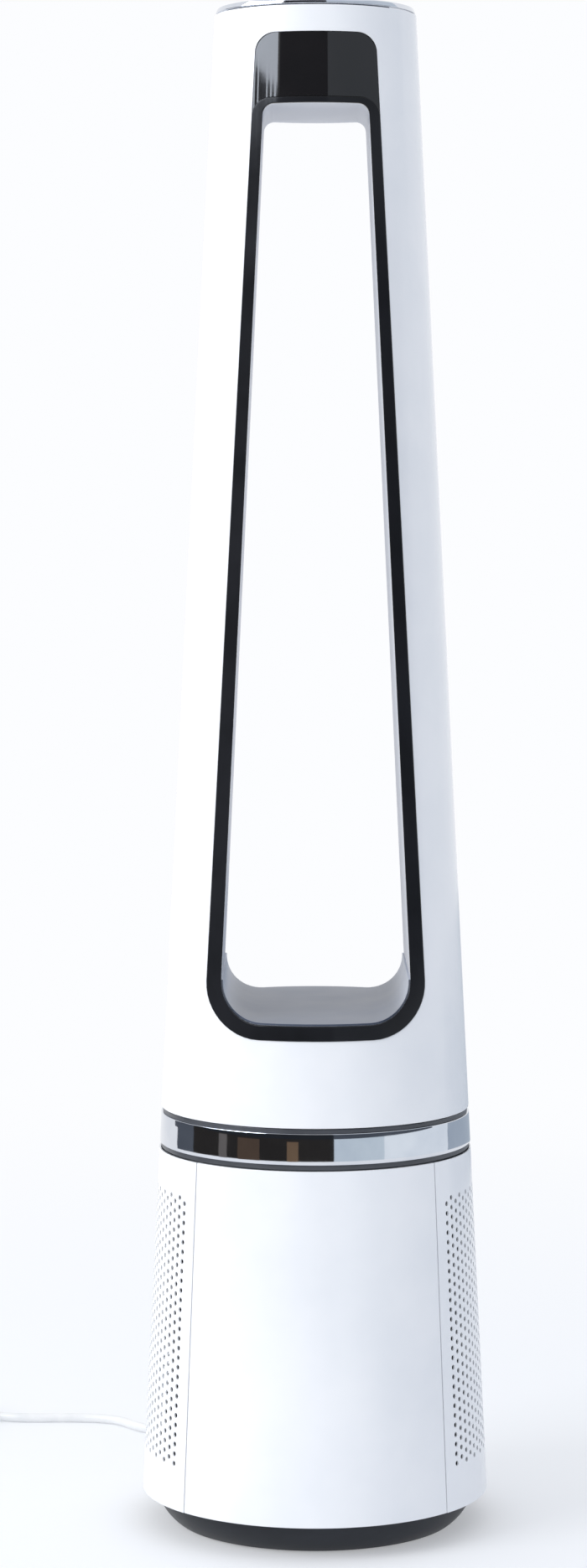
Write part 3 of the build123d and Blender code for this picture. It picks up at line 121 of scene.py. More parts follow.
# colours are the light and the dark of each finish; cloud, grain and depth are real sizes in mm
finishes = {
    "white_abs": {  # high-gloss moulded ABS: clean, cool white, a faint flow ripple in its highlights
        "name": "glossMouldedAbsWhite",
        "colours": ("#F3F5F9", "#EDF0F5"), "cloud": 70, "rough": (0.17, 0.25),
        "grain": 2.4, "depth": 0.003, "ior": 1.54,
    },
    "plinth_abs": {  # spark-eroded satin ABS: soft charcoal sheen, fine stipple
        "name": "satinMouldedAbsCharcoal",
        "colours": ("#2B2E34", "#24272C"), "cloud": 35, "rough": (0.36, 0.48),
        "grain": 0.9, "depth": 0.018, "ior": 1.53, "specular": 0.25,
    },
    "black_gloss": {  # smoked acrylic over black: deep, mirror-like, barely rippled
        "name": "smokedAcrylicPanel",
        "colours": ("#1D1C1E", "#19191B"), "cloud": 50, "rough": (0.03, 0.06),
        "grain": 9.0, "depth": 0.004, "ior": 1.49,
    },
    "trim_gloss": {  # piano-black ABS from a polished tool: softer gloss than the panel's
        "name": "pianoBlackAbs",
        "colours": ("#222327", "#1C1D20"), "cloud": 50, "rough": (0.08, 0.14),
        "grain": 6.0, "depth": 0.006, "ior": 1.52, "specular": 0.14,
    },
    "liner_painted_shade": {  # white ABS lining of the opening, painted pale grey as shade inside the opening: satin from the tool
        "name": "satinMouldedAbsPaleGrey",
        "colours": ("#C3C8D3", "#BCC1CD"), "cloud": 60, "rough": (0.3, 0.4),
        "grain": 1.6, "depth": 0.006, "ior": 1.53,
    },
    "carbon_net": {  # carbon-soaked felt over the pleats: charcoal, dull, fibrous
        "name": "carbonPrefilterFelt",
        "colours": ("#24262A", "#17181B"), "cloud": 4, "rough": (0.85, 0.95),
        "grain": 0.8, "depth": 0.12, "ior": 1.45,
    },
    "chrome_plate": {  # chrome-plated ABS: bright blue-white mirror, slightly wavy under the plate
        "name": "chromePlatedAbs",
        "colours": ("#DDE0E6", "#D2D6DE"), "cloud": 30, "rough": (0.03, 0.07),
        "grain": 16.0, "depth": 0.012, "ior": 1.5, "metallic": 1.0,
    },
    "dark_ring": {  # satin ABS ring: dull slate line each side of the plating
        "name": "satinMouldedAbsSlate",
        "colours": ("#484B52", "#3F4248"), "cloud": 30, "rough": (0.32, 0.42),
        "grain": 0.9, "depth": 0.012, "ior": 1.53,
    },
    "grey_satin": {  # satin ABS tray: mid grey, partly its own grey and partly painted shade on the opening's floor; paler up the walls, where it fades towards the lining's painted-shade tone; fade is that colour and its heights in mm
        "name": "satinMouldedAbsGrey",
        "colours": ("#5A6478", "#535C70"), "cloud": 60, "rough": (0.3, 0.36),
        "grain": 1.2, "depth": 0.004, "ior": 1.53, "specular": 0.3, "fade": ("#AEB6C6", 364, 383),
    },
    "grey_abs": {  # unpainted structural ABS: matte, with moulding cloudiness
        "name": "mouldedAbsGrey",
        "colours": ("#83878E", "#73777E"), "cloud": 18, "rough": (0.45, 0.6),
        "grain": 0.8, "depth": 0.02, "ior": 1.53,
    },
    "impeller_nylon": {  # glass-filled nylon: near black with a pale fibre bloom
        "name": "glassFilledNylon",
        "colours": ("#2C2E31", "#1B1C1F"), "cloud": 4, "rough": (0.4, 0.58),
        "grain": 0.7, "depth": 0.02, "ior": 1.53,
    },
    "acetal": {  # moulded acetal: waxy off-white
        "name": "mouldedAcetal",
        "colours": ("#E9E8DF", "#DEDDD2"), "cloud": 12, "rough": (0.3, 0.42),
        "grain": 1.0, "depth": 0.008, "ior": 1.48,
    },
    "steel": {  # zinc-plated steel: cool grey with a spangle a few millimetres across
        "name": "zincPlatedSteel",
        "colours": ("#B9BCC2", "#9DA1A8"), "cloud": 3.5, "rough": (0.22, 0.38),
        "grain": 1.5, "depth": 0.006, "ior": 1.5, "metallic": 1.0,
    },
    "motor_alloy": {  # die-cast aluminium: pale grey, sandy skin
        "name": "dieCastAluminium",
        "colours": ("#C3C5C9", "#ADB0B5"), "cloud": 7, "rough": (0.38, 0.52),
        "grain": 1.0, "depth": 0.02, "ior": 1.5, "metallic": 1.0,
    },
    "ballast_iron": {  # painted cast iron: black paint over a rough skin
        "name": "paintedCastIron",
        "colours": ("#2A2B2E", "#1E1F21"), "cloud": 9, "rough": (0.42, 0.6),
        "grain": 1.6, "depth": 0.06, "ior": 1.5,
    },
    "magnet_ferrite": {  # sintered ferrite: dense charcoal grey, ground faces
        "name": "sinteredFerrite",
        "colours": ("#3B3C3F", "#2C2D30"), "cloud": 3, "rough": (0.45, 0.58),
        "grain": 0.8, "depth": 0.01, "ior": 1.6,
    },
    "winding_copper": {  # enamelled copper wire: amber varnish over copper
        "name": "enamelledCopper",
        "colours": ("#B4602F", "#8E4520"), "cloud": 2.5, "rough": (0.2, 0.34),
        "grain": 0.8, "depth": 0.05, "ior": 1.5, "metallic": 0.8,
    },
    "rubber": {  # moulded rubber: dull black, dusty in its pores
        "name": "mouldedRubberBlack",
        "colours": ("#26272A", "#1B1C1E"), "cloud": 6, "rough": (0.62, 0.8),
        "grain": 0.8, "depth": 0.03, "ior": 1.5,
    },
    "filter_frame": {  # moulded polypropylene: translucent-looking pale grey
        "name": "mouldedPolypropylene",
        "colours": ("#C9CDD2", "#BBC0C6"), "cloud": 15, "rough": (0.4, 0.55),
        "grain": 1.0, "depth": 0.015, "ior": 1.49,
    },
    "filter_paper": {  # pleated glass-fibre paper: off-white, felted fibres
        "name": "pleatedFilterPaper",
        "colours": ("#DADACF", "#C6C6BA"), "cloud": 5, "rough": (0.85, 0.95),
        "grain": 0.8, "depth": 0.09, "ior": 1.45,
    },
    "circuit_board": {  # epoxy board: green solder resist
        "name": "epoxyCircuitBoard",
        "colours": ("#1E5B35", "#164A2A"), "cloud": 4, "rough": (0.3, 0.45),
        "grain": 1.2, "depth": 0.02, "ior": 1.55,
    },
    "cord_pvc": {  # soft white PVC: slightly waxy, a fine draw along it
        "name": "softPvcWhite",
        "colours": ("#ECEDEE", "#E2E4E6"), "cloud": 20, "rough": (0.38, 0.5),
        "grain": 1.4, "depth": 0.012, "ior": 1.5,
    },
    "tie_rubber": {  # rubber strap: matte near-black
        "name": "strapRubber",
        "colours": ("#2B2C2E", "#202123"), "cloud": 5, "rough": (0.6, 0.75),
        "grain": 0.9, "depth": 0.03, "ior": 1.5,
    },
}


def makeFinish(look):
    material = bpy.data.materials.new(look["name"])
    material.use_nodes = True
    tree = material.node_tree
    shader = tree.nodes["Principled BSDF"]
    spot = addNode(tree, "ShaderNodeTexCoord").outputs["Object"]
    cloud = addNode(tree, "ShaderNodeTexNoise", None, {
        "Vector": spot, "Scale": 1 / (look["cloud"] * mm), "Detail": 3.0, "Roughness": 0.55,
    })
    grain = addNode(tree, "ShaderNodeTexNoise", None, {
        "Vector": spot, "Scale": 1 / (look["grain"] * mm), "Detail": 2.0, "Roughness": 0.5,
    })
    # the noise lies mostly between 0.3 and 0.7
    tone = addNode(tree, "ShaderNodeValToRGB", None, {"Fac": cloud.outputs["Fac"]})
    stops = tone.color_ramp.elements
    stops[0].position, stops[1].position = 0.35, 0.65
    stops[0].color = linearColour(look["colours"][1])
    stops[1].color = linearColour(look["colours"][0])
    rough = addNode(tree, "ShaderNodeMapRange", None, {
        "Value": cloud.outputs["Fac"], "From Min": 0.3, "From Max": 0.7,
        "To Min": look["rough"][0], "To Max": look["rough"][1],
    })
    bump = addNode(tree, "ShaderNodeBump", None, {
        "Height": grain.outputs["Fac"], "Strength": 1.0, "Distance": look["depth"] * mm,
    })
    colour = tone.outputs["Color"]
    # with a fade the colour turns paler with height; on the tray both greys are partly painted shade, darker
    # on the opening's floor
    if "fade" in look:
        paler, low, high = look["fade"]
        axes = addNode(tree, "ShaderNodeSeparateXYZ", None, {"Vector": spot}).outputs
        share = addNode(tree, "ShaderNodeMapRange", {"interpolation_type": "SMOOTHSTEP"}, {
            "Value": axes["Z"], "From Min": low * mm, "From Max": high * mm,
        })
        mix = addNode(tree, "ShaderNodeMix", {"data_type": "RGBA"}, {
            "Factor": share, "A": colour, "B": linearColour(paler),
        })
        colour = mix.outputs["Result"]
    tree.links.new(colour, shader.inputs["Base Color"])
    tree.links.new(rough.outputs["Result"], shader.inputs["Roughness"])
    tree.links.new(bump.outputs["Normal"], shader.inputs["Normal"])
    shader.inputs["IOR"].default_value = look["ior"]
    shader.inputs["Metallic"].default_value = look.get("metallic", 0.0)
    shader.inputs["Specular IOR Level"].default_value = look.get("specular", 0.5)
    return material


finishOf = {slot: makeFinish(look) for slot, look in finishes.items()}
for row in frame["record"]["subparts"]:
    cadMesh = cadNodes[row["node"]].data
    cadMesh.materials.clear()
    cadMesh.materials.append(finishOf[row["material_slot"]])
print("finishes made:", len(finishOf))


def keepPiece(name, mesh, slot, body, replaced=(), finish=None):
    piece = bpy.data.objects.new(name, mesh)
    bpy.context.scene.collection.objects.link(piece)
    mesh.materials.clear()
    mesh.materials.append(finishOf[finish or slot])
    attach(piece, body)
    if replaced:
        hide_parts(*replaced)
    return piece


def smoothMesh(mesh, sharp, mergeDistance=0.0):
    # faces outwards and smooth; sharp is the angle, in degrees, past which an edge is crisp
    shape = bmesh.new()
    shape.from_mesh(mesh)
    if mergeDistance:
        bmesh.ops.remove_doubles(shape, verts=shape.verts, dist=mergeDistance)
    bmesh.ops.recalc_face_normals(shape, faces=shape.faces)
    for face in shape.faces:
        face.smooth = True
    for edge in shape.edges:
        edge.smooth = edge.calc_face_angle(0.0) < math.radians(sharp)
    shape.to_mesh(mesh)
    shape.free()


def closedMesh(name, points, faces, sharp=32):
    mesh = bpy.data.meshes.new(name)
    mesh.from_pydata([tuple(p) for p in points], [], faces)
    smoothMesh(mesh, sharp, 0.002 * mm)
    return mesh


def addRounding(piece, width, segments=3, angle=40):
    bevel = piece.modifiers.new("edge rounding", "BEVEL")
    bevel.width = width
    bevel.segments = segments
    bevel.limit_method = "ANGLE"
    bevel.angle_limit = math.radians(angle)
    bevel.harden_normals = True
    bevel.use_clamp_overlap = True


def gridFaces(rows, columns, wrap, offset=0):
    faces = []
    for row in range(rows - 1):
        for column in range(columns if wrap else columns - 1):
            a = offset + row * columns + column
            b = offset + row * columns + (column + 1) % columns
            faces.append((a, b, b + columns, a + columns))
    return faces


def thickSheet(name, front, back, wrap):
    # front and back are rows of points, the same number in each; wrap joins the last column to the first
    rows, columns = len(front), len(front[0])
    points = [p for row in front for p in row] + [p for row in back for p in row]
    half = rows * columns
    faces = gridFaces(rows, columns, wrap) + gridFaces(rows, columns, wrap, half)
    last = (rows - 1) * columns
    for column in range(columns if wrap else columns - 1):
        after = (column + 1) % columns
        faces.append((column, after, half + after, half + column))
        faces.append((last + column, last + after, half + last + after, half + last + column))
    if not wrap:
        for row in range(rows - 1):
            for edge in (0, columns - 1):
                a, b = row * columns + edge, (row + 1) * columns + edge
                faces.append((a, b, half + b, half + a))
    return closedMesh(name, points, faces)


def arcPoints(before, here, after, radius, steps):
    # fillet of a corner in the plane, from one tangent point to the other
    before, here, after = Vector(before), Vector(here), Vector(after)
    arriving, leaving = (here - before).normalized(), (after - here).normalized()
    turn = arriving.angle_signed(leaving)
    reach = radius * math.tan(abs(turn) / 2)
    start = here - arriving * reach
    side = Vector((-arriving.y, arriving.x)) * (-1 if turn > 0 else 1)
    centre = start + side * radius
    points = []
    for step in range(steps + 1):
        swing = -turn * step / steps
        spoke = start - centre
        points.append(centre + Vector((
            spoke.x * math.cos(swing) - spoke.y * math.sin(swing),
            spoke.x * math.sin(swing) + spoke.y * math.cos(swing),
        )))
    return points


def roundedLoop(corners, radii, arcSteps, runSteps):
    # closed loop: for each corner its arc, then the straight run to the next corner
    count = len(corners)
    arcs = [
        arcPoints(corners[i - 1], corners[i], corners[(i + 1) % count], radii[i], arcSteps)
        for i in range(count)
    ]
    points = []
    for i, arc in enumerate(arcs):
        points += arc
        following = arcs[(i + 1) % count][0]
        for step in range(1, runSteps[i]):
            points.append(arc[-1].lerp(following, step / runSteps[i]))
    return points


def turnedMesh(name, profile, steps=192):  # profile is a closed loop of (radius, height)
    points = []
    for step in range(steps):
        angle = 2 * math.pi * step / steps
        points += [(r * math.cos(angle), r * math.sin(angle), z) for r, z in profile]
    count = len(profile)
    faces = []
    for step in range(steps):
        here, there = step * count, (step + 1) % steps * count
        for i in range(count):
            j = (i + 1) % count
            faces.append((here + i, here + j, there + j, there + i))
    return closedMesh(name, points, faces)


mainsCord = {
    "radius": 3.5 * mm,
    "length": 1.5,
    "route": [
        (0.0, 0.146, 0.0125), (0.0, 0.168, 0.0095), (-0.009, 0.191, 0.0044),
        (-0.034, 0.212, 0.0035), (-0.070, 0.219, 0.0036), (-0.108, 0.221, 0.0035),
        (-0.134, 0.239, 0.0036), (-0.151, 0.265, 0.0035), (-0.186, 0.270, 0.0036),
        (-0.221, 0.268, 0.0035), (-0.243, 0.2725, 0.0036), (-0.262, 0.2845, 0.0039),
        (-0.279, 0.2945, 0.0043),
    ],
    "tail": [
        (-0.318, 0.2225, 0.0183), (-0.301, 0.217, 0.0150), (-0.286, 0.206, 0.0090),
        (-0.283, 0.186, 0.0064), (-0.287, 0.168, 0.0070),
    ],
    "coilCentre": (-0.306, 0.262),
    "passes": [(41.5, 4.3), (34.5, 4.3), (34.5, 11.3), (41.5, 11.3), (41.5, 18.3)],  # radius, height in mm
    "firstAngle": 62.0,
    "lastAngle": 250.0,
    "stepAngle": 24.0,
    "changeArc": 40.0,  # degrees in which the cord moves from one pass to the next
    "firstChange": 350.0,  # each later change comes that much sooner in its own turn
    "changeEvery": 315.0,
}


def coilPoints(cord):
    turns = len(cord["passes"]) - 1
    whole = 360.0 * turns + cord["lastAngle"] - cord["firstAngle"]
    count = round(whole / cord["stepAngle"])
    tighten = 1 / math.cos(math.radians(cord["stepAngle"] / 2))  # the line cuts inside its points
    points = []
    for step in range(count + 1):
        along = whole * step / count
        radius, height = cord["passes"][0]
        for index in range(turns):
            change = cord["firstChange"] + cord["changeEvery"] * index
            share = min(1.0, max(0.0, (along - change + cord["changeArc"]) / cord["changeArc"]))
            share = share * share * (3 - 2 * share)  # eases in and out of each change
            here, following = cord["passes"][index], cord["passes"][index + 1]
            radius += share * (following[0] - here[0])
            height += share * (following[1] - here[1])
        angle = math.radians(cord["firstAngle"] + along)
        x = cord["coilCentre"][0] + radius * mm * tighten * math.cos(angle)
        y = cord["coilCentre"][1] + radius * mm * tighten * math.sin(angle)
        points.append((x, y, height * mm))
    return points


cordLine = bpy.data.curves.new("mains_lead", "CURVE")
cordLine.dimensions = "3D"
spline = cordLine.splines.new("NURBS")
controlPoints = mainsCord["route"] + coilPoints(mainsCord) + mainsCord["tail"]
spline.points.add(len(controlPoints) - 1)
for point, place in zip(spline.points, controlPoints):
    point.co = (*place, 1.0)
spline.order_u = 3
spline.use_endpoint_u = True
spline.resolution_u = 6
cordLine.bevel_depth = mainsCord["radius"]
cordLine.bevel_resolution = 4
cordLine.use_fill_caps = True
mainsLead = keepPiece("mains_lead", cordLine, "cord_pvc", "base", ("mains_cord", "cord_coil", "cord_tail"))

relief = {
    "start": lowCorner("strain_relief").y,
    "end": highCorner("strain_relief").y,
    "collarEnd": lowCorner("strain_relief").y + 18 * mm,
    "collarRadius": 5.0 * mm,
    "wideRadius": 6.0 * mm,
    "slimRadius": 4.0 * mm,
    "grooves": 7,
    "grooveDepth": 0.9 * mm,
    "grooveFade": 0.6,  # share of the depth lost by the thin end
}


def reliefProfile(piece):  # radius against distance along the cord, ribbed where it bends
    line = [
        (0.0, piece["start"]), (piece["collarRadius"], piece["start"]),
        (piece["collarRadius"], piece["collarEnd"]),
    ]
    steps = piece["grooves"] * 10
    for step in range(steps + 1):
        share = step / steps
        along = piece["collarEnd"] + share * (piece["end"] - piece["collarEnd"])
        radius = piece["wideRadius"] + share * (piece["slimRadius"] - piece["wideRadius"])
        rib = 0.5 - 0.5 * math.cos(2 * math.pi * piece["grooves"] * share)
        line.append((radius - piece["grooveDepth"] * rib * (1 - piece["grooveFade"] * share), along))
    line.append((0.0, piece["end"]))
    return line


exitZ = (lowCorner("strain_relief").z + highCorner("strain_relief").z) / 2
reliefMesh = turnedMesh("lead_strain_relief", reliefProfile(relief), steps=40)
for vertex in reliefMesh.vertices:  # turned about +Z, then laid along +Y
    x, y, along = vertex.co
    vertex.co = (x, along, exitZ - y)
reliefPiece = keepPiece("lead_strain_relief", reliefMesh, "cord_pvc", "base", ("strain_relief",))

plug = {
    "place": Vector(mainsCord["tail"][-1]),
    "way": (Vector(mainsCord["tail"][-1]) - Vector(mainsCord["tail"][-2])).to_2d().normalized().to_3d(),
    "length": 26 * mm,
    # distance along, width, height, corner radius, all in mm
    "sections": [
        (0.0, 8.6, 8.2, 4.0), (0.6, 10.4, 9.6, 4.4), (3.0, 12.6, 10.6, 4.8), (7.0, 15.5, 11.2, 5.0),
        (11.0, 20.5, 12.0, 5.3), (15.0, 27.0, 12.8, 5.6), (19.0, 32.2, 13.4, 5.8), (23.0, 34.7, 13.7, 5.8),
        (25.2, 34.8, 13.6, 5.6), (26.0, 33.6, 12.4, 5.0),
    ],
    "pinGap": 18.6 * mm,
    "pinRadius": 2.0 * mm,
    "pinLength": 19 * mm,
    "pinRoot": 2 * mm,  # how far the pin and its sleeve reach into the body
    "sleeveRoot": 1 * mm,
    "pinNose": [(2.2, 0.9), (1.0, 0.8), (0.3, 0.5), (0.0, 0.1)],  # mm back from the tip, share of the radius
    "sleeveLength": 10 * mm,
}
plugSide = Vector((0, 0, 1)).cross(plug["way"])


def onPlug(along, across, up):
    return plug["place"] + plug["way"] * along + plugSide * across + Vector((0, 0, up))


def plugBody():
    rings = []
    for along, width, height, radius in plug["sections"]:
        w, h = width * mm / 2, height * mm / 2
        r = min(radius * mm, 0.98 * h, 0.98 * w)  # leaves a short flat on each side
        loop = roundedLoop([(-w, -h), (w, -h), (w, h), (-w, h)], [r] * 4, 6, [4, 2, 4, 2])
        rings.append([onPlug(along * mm, p.x, p.y) for p in loop])
    points = [p for ring in rings for p in ring]
    count = len(rings[0])
    faces = gridFaces(len(rings), count, True)
    faces.append(tuple(range(count)))
    faces.append(tuple(range(len(points) - count, len(points))))
    return closedMesh("plug_body", points, faces, sharp=50)


def rodShape(stations, sides=20):  # stations are (centre, radius) pairs along one line
    points = []
    for centre, radius in stations:
        for side in range(sides):
            angle = 2 * math.pi * side / sides
            across, up = radius * math.cos(angle), radius * math.sin(angle)
            points.append(centre + plugSide * across + Vector((0, 0, up)))
    faces = gridFaces(len(stations), sides, True)
    faces.append(tuple(range(sides)))
    faces.append(tuple(range(len(points) - sides, len(points))))
    return points, faces


def plugPins(name, stations):  # the same turned shape at both pins
    points, faces = [], []
    for hand in (-1, 1):
        made, drawn = rodShape([(onPlug(a, hand * plug["pinGap"] / 2, 0), r) for a, r in stations])
        faces += [tuple(i + len(points) for i in face) for face in drawn]
        points += made
    return closedMesh(name, points, faces)


bodyEnd, pinEnd, pinRadius = plug["length"], plug["length"] + plug["pinLength"], plug["pinRadius"]
plugPiece = keepPiece("plug_body", plugBody(), "cord_pvc", "base", ("mains_plug",))
pinPiece = keepPiece("plug_pins", plugPins("plug_pins", [
    (bodyEnd - plug["pinRoot"], pinRadius * 0.9),
    *((pinEnd - back * mm, pinRadius * share) for back, share in plug["pinNose"]),
]), "steel", "base")
sleevePiece = keepPiece("plug_pin_sleeves", plugPins("plug_pin_sleeves", [
    (bodyEnd - plug["sleeveRoot"], pinRadius), (bodyEnd + plug["sleeveLength"], pinRadius),
]), "rubber", "base")
print("cord laid, points:", len(controlPoints))


opening = {  # the tall rounded trapezoid through the tower, seen from the front
    "floorZ": lowCorner("opening_sill").z, "ceilingZ": 975 * mm,
    "floorHalf": 65.2 * mm, "ceilingHalf": 35.3 * mm,
    "floorCorner": 27 * mm, "ceilingCorner": 7.5 * mm,
}
trim = {  # the black frame round it
    "floorWidth": 10 * mm, "ceilingWidth": 4 * mm,
    "sideLow": 10.2 * mm, "sideHigh": 7.2 * mm,
    "lowCorner": 35 * mm, "highCorner": 12 * mm,
    "proud": 0.9 * mm, "rounding": 1.2 * mm,
}
window = {  # the display panel above the opening
    "topZ": highCorner("display_window").z, "corner": 13 * mm,
    "proud": 0.3 * mm, "wall": 2.4 * mm, "gap": 0.25 * mm, "rounding": 0.5 * mm,
}
# steps round each corner, and along the floor, the right side, the ceiling and the left side
loopSteps = {"arc": 12, "runs": [40, 60, 30, 60]}


def openingHalf(z):
    share = (z - opening["floorZ"]) / (opening["ceilingZ"] - opening["floorZ"])
    return opening["floorHalf"] + share * (opening["ceilingHalf"] - opening["floorHalf"])


trimLowZ = opening["floorZ"] - trim["floorWidth"]
trimHighZ = opening["ceilingZ"] + trim["ceilingWidth"]


def trimHalf(z):
    low, high = openingHalf(trimLowZ) + trim["sideLow"], openingHalf(trimHighZ) + trim["sideHigh"]
    return low + (z - trimLowZ) / (trimHighZ - trimLowZ) * (high - low)


def trapezoid(lowZ, highZ, half, footCorner, headCorner, grow=0.0):
    corners = [
        (-half(lowZ) - grow, lowZ - grow), (half(lowZ) + grow, lowZ - grow),
        (half(highZ) + grow, highZ + grow), (-half(highZ) - grow, highZ + grow),
    ]
    radii = [footCorner + grow, footCorner + grow, headCorner + grow, headCorner + grow]
    return roundedLoop(corners, radii, loopSteps["arc"], loopSteps["runs"])


def openingLoop(grow=0.0):
    return trapezoid(
        opening["floorZ"], opening["ceilingZ"], openingHalf,
        opening["floorCorner"], opening["ceilingCorner"], grow,
    )


def frontY(x, z, proud):
    return -math.sqrt(coneRadius(z, proud) ** 2 - x * x)


casing = {"seamGap": 0.12 * mm, "rows": 26, "frontRounding": 0.35 * mm, "rearRounding": 0.6 * mm}


def casingHalf(name, hole, side):
    # half of the tower's skin round a hole; side is 1 at the front and -1 at the rear
    count = len(hole)
    arc, runs = loopSteps["arc"], loopSteps["runs"]
    middles = []
    start = 0
    for run in runs:
        middles.append(start + arc // 2)
        start += arc + run
    edge = math.pi / 2 - casing["seamGap"] / coneRadius(towerZ)
    frameCorners = [(-edge, towerZ), (edge, towerZ), (edge, rimZ), (-edge, rimZ)]
    outer = [None] * count
    for index, first in enumerate(middles):
        last = middles[(index + 1) % 4]
        span = (last - first) % count
        lengths = [0.0]
        for step in range(span):
            a, b = hole[(first + step) % count], hole[(first + step + 1) % count]
            lengths.append(lengths[-1] + (b - a).length)
        begin, end = Vector(frameCorners[index]), Vector(frameCorners[(index + 1) % 4])
        for step in range(span):
            outer[(first + step) % count] = begin.lerp(end, lengths[step] / lengths[-1])
    sheets = []
    for skin in (0.0, -shellWall):
        inner = [Vector((math.asin(p.x / coneRadius(p.y, skin)), p.y)) for p in hole]
        sheet = []
        for row in range(casing["rows"] + 1):
            line = [a.lerp(b, row / casing["rows"]) for a, b in zip(inner, outer)]
            placed = [onCone(p.x, p.y, skin) for p in line]
            sheet.append([(x, y * side, z) for x, y, z in placed])
        sheets.append(sheet)
    return thickSheet(name, sheets[0], sheets[1], True)


frontHole = trapezoid(trimLowZ, window["topZ"], trimHalf, trim["lowCorner"], window["corner"])
frontMesh = casingHalf("front_casing", frontHole, 1)
rearMesh = casingHalf("rear_casing", openingLoop(), -1)
frontCasing = keepPiece("front_casing", frontMesh, "white_abs", "tower", ("tower_front_shell",))
rearCasing = keepPiece("rear_casing", rearMesh, "white_abs", "tower", ("tower_rear_shell",))
addRounding(frontCasing, casing["frontRounding"], 2)
addRounding(rearCasing, casing["rearRounding"], 3)


def betweenLoops(name, inner, outer, rows, proud, depth):
    # a front skin between two loops on the cone, with walls straight back along Y
    sheets = []
    for skin in (proud, proud - depth):
        sheet = []
        for row in range(rows + 1):
            line = [a.lerp(b, row / rows) for a, b in zip(inner, outer)]
            sheet.append([(p.x, frontY(p.x, p.y, skin), p.y) for p in line])
        sheets.append(sheet)
    return thickSheet(name, sheets[0], sheets[1], True)


trimOuter = trapezoid(trimLowZ, trimHighZ, trimHalf, trim["lowCorner"], trim["highCorner"])
trimPiece = keepPiece(
    "gloss_trim",
    betweenLoops("gloss_trim", openingLoop(), trimOuter, 6, trim["proud"], trim["proud"] + shellWall),
    "black_gloss", "tower", ("opening_trim",), "trim_gloss",
)
addRounding(trimPiece, trim["rounding"], 4)


def windowMesh():
    # columns of the panel; its foot fills the space round the trim's rounded top corners
    columns, rows = 72, 20
    footZ, topZ = trimHighZ - trim["highCorner"], window["topZ"]
    gap = window["gap"]
    topHalf, lowHalf = trimHalf(topZ), trimHalf(trimHighZ)
    sheets = []
    for skin in (window["proud"], -window["wall"]):
        sheet = [[] for _ in range(rows + 1)]
        for column in range(columns + 1):
            u = math.sin(math.pi * (column / columns - 0.5))
            cut = max(0.0, abs(u) * topHalf - (topHalf - window["corner"]))
            high = topZ - gap - window["corner"] + math.sqrt(max(0.0, window["corner"] ** 2 - cut ** 2))
            cut = max(0.0, abs(u) * lowHalf - (lowHalf - trim["highCorner"]))
            low = footZ + gap + math.sqrt(max(0.0, trim["highCorner"] ** 2 - cut ** 2))
            for row in range(rows + 1):
                z = low + (high - low) * row / rows
                x = u * (trimHalf(z) - gap)
                sheet[row].append((x, frontY(x, z, skin), z))
        sheets.append(sheet)
    return thickSheet("display_panel", sheets[0], sheets[1], False)


panelPiece = keepPiece("display_panel", windowMesh(), "black_gloss", "tower", ("display_window",))
addRounding(panelPiece, window["rounding"])

liner = {"wall": 2.4 * mm, "layers": 14}


def linerMesh():
    sheets = []
    for grow in (0.0, liner["wall"]):
        loop = openingLoop(grow)
        sheet = []
        for layer in range(liner["layers"] + 1):
            share = 1 - 2 * layer / liner["layers"]
            sheet.append([(p.x, share * frontY(p.x, p.y, -shellWall), p.y) for p in loop])
        sheets.append(sheet)
    return thickSheet("opening_duct", sheets[0], sheets[1], True)


# the lining is white ABS; its pale grey finish is painted shade inside the opening
keepPiece("opening_duct", linerMesh(), "white_abs", "tower", ("opening_liner",), "liner_painted_shade")

sill = {"wall": 1.2 * mm, "gap": 0.05 * mm, "topZ": highCorner("opening_sill").z, "layers": 14}


def sillPath(inset):
    # down one side, across the floor and up the other
    floorZ, corner = opening["floorZ"] + inset, opening["floorCorner"] - inset
    corners = [
        (-openingHalf(sill["topZ"]) + inset, sill["topZ"]), (-openingHalf(floorZ) + inset, floorZ),
        (openingHalf(floorZ) - inset, floorZ), (openingHalf(sill["topZ"]) - inset, sill["topZ"]),
    ]
    arcSteps, floorSteps = 14, 24
    left = arcPoints(corners[0], corners[1], corners[2], corner, arcSteps)
    right = arcPoints(corners[1], corners[2], corners[3], corner, arcSteps)
    flat = [left[-1].lerp(right[0], step / floorSteps) for step in range(1, floorSteps)]
    return left + flat + right


def sillMesh():
    sheets = []
    for inset in (sill["wall"], sill["gap"]):
        path = sillPath(inset)
        sheet = []
        for layer in range(sill["layers"] + 1):
            share = 1 - 2 * layer / sill["layers"]
            sheet.append([(p.x, share * frontY(p.x, p.y, -shellWall), p.y) for p in path])
        sheets.append(sheet)
    return thickSheet("opening_tray", sheets[0], sheets[1], False)


keepPiece("opening_tray", sillMesh(), "grey_satin", "tower", ("opening_sill",))
print("tower casing made")

# half angles and seams in degrees
panels = {"half": 48.0, "spineHalf": 22.0, "seam": 0.35, "columnAngle": 1.6, "rounding": 0.45 * mm}


def anglesBetween(first, last, steps):  # degrees in, radians out
    return [math.radians(first + (last - first) * step / steps) for step in range(steps + 1)]


def conePanel(name, firstAngle, lastAngle):
    rows, columns = 24, round((lastAngle - firstAngle) / panels["columnAngle"])
    angles = anglesBetween(firstAngle, lastAngle, columns)
    sheets = []
    for skin in (0.0, -coverWall):
        sheet = []
        for row in range(rows + 1):
            z = skirtZ + (coverTopZ - skirtZ) * row / rows
            sheet.append([onCone(a, z, skin) for a in angles])
        sheets.append(sheet)
    return thickSheet(name, sheets[0], sheets[1], False)


for name, middle, half, node in (
    ("smooth_front", 0.0, panels["half"], "front_panel"),
    ("smooth_spine", 180.0, panels["spineHalf"], "rear_spine"),
):
    panel = keepPiece(name, conePanel(name, middle - half, middle + half), "white_abs", "base", (node,))
    addRounding(panel, panels["rounding"])
print("panels made")

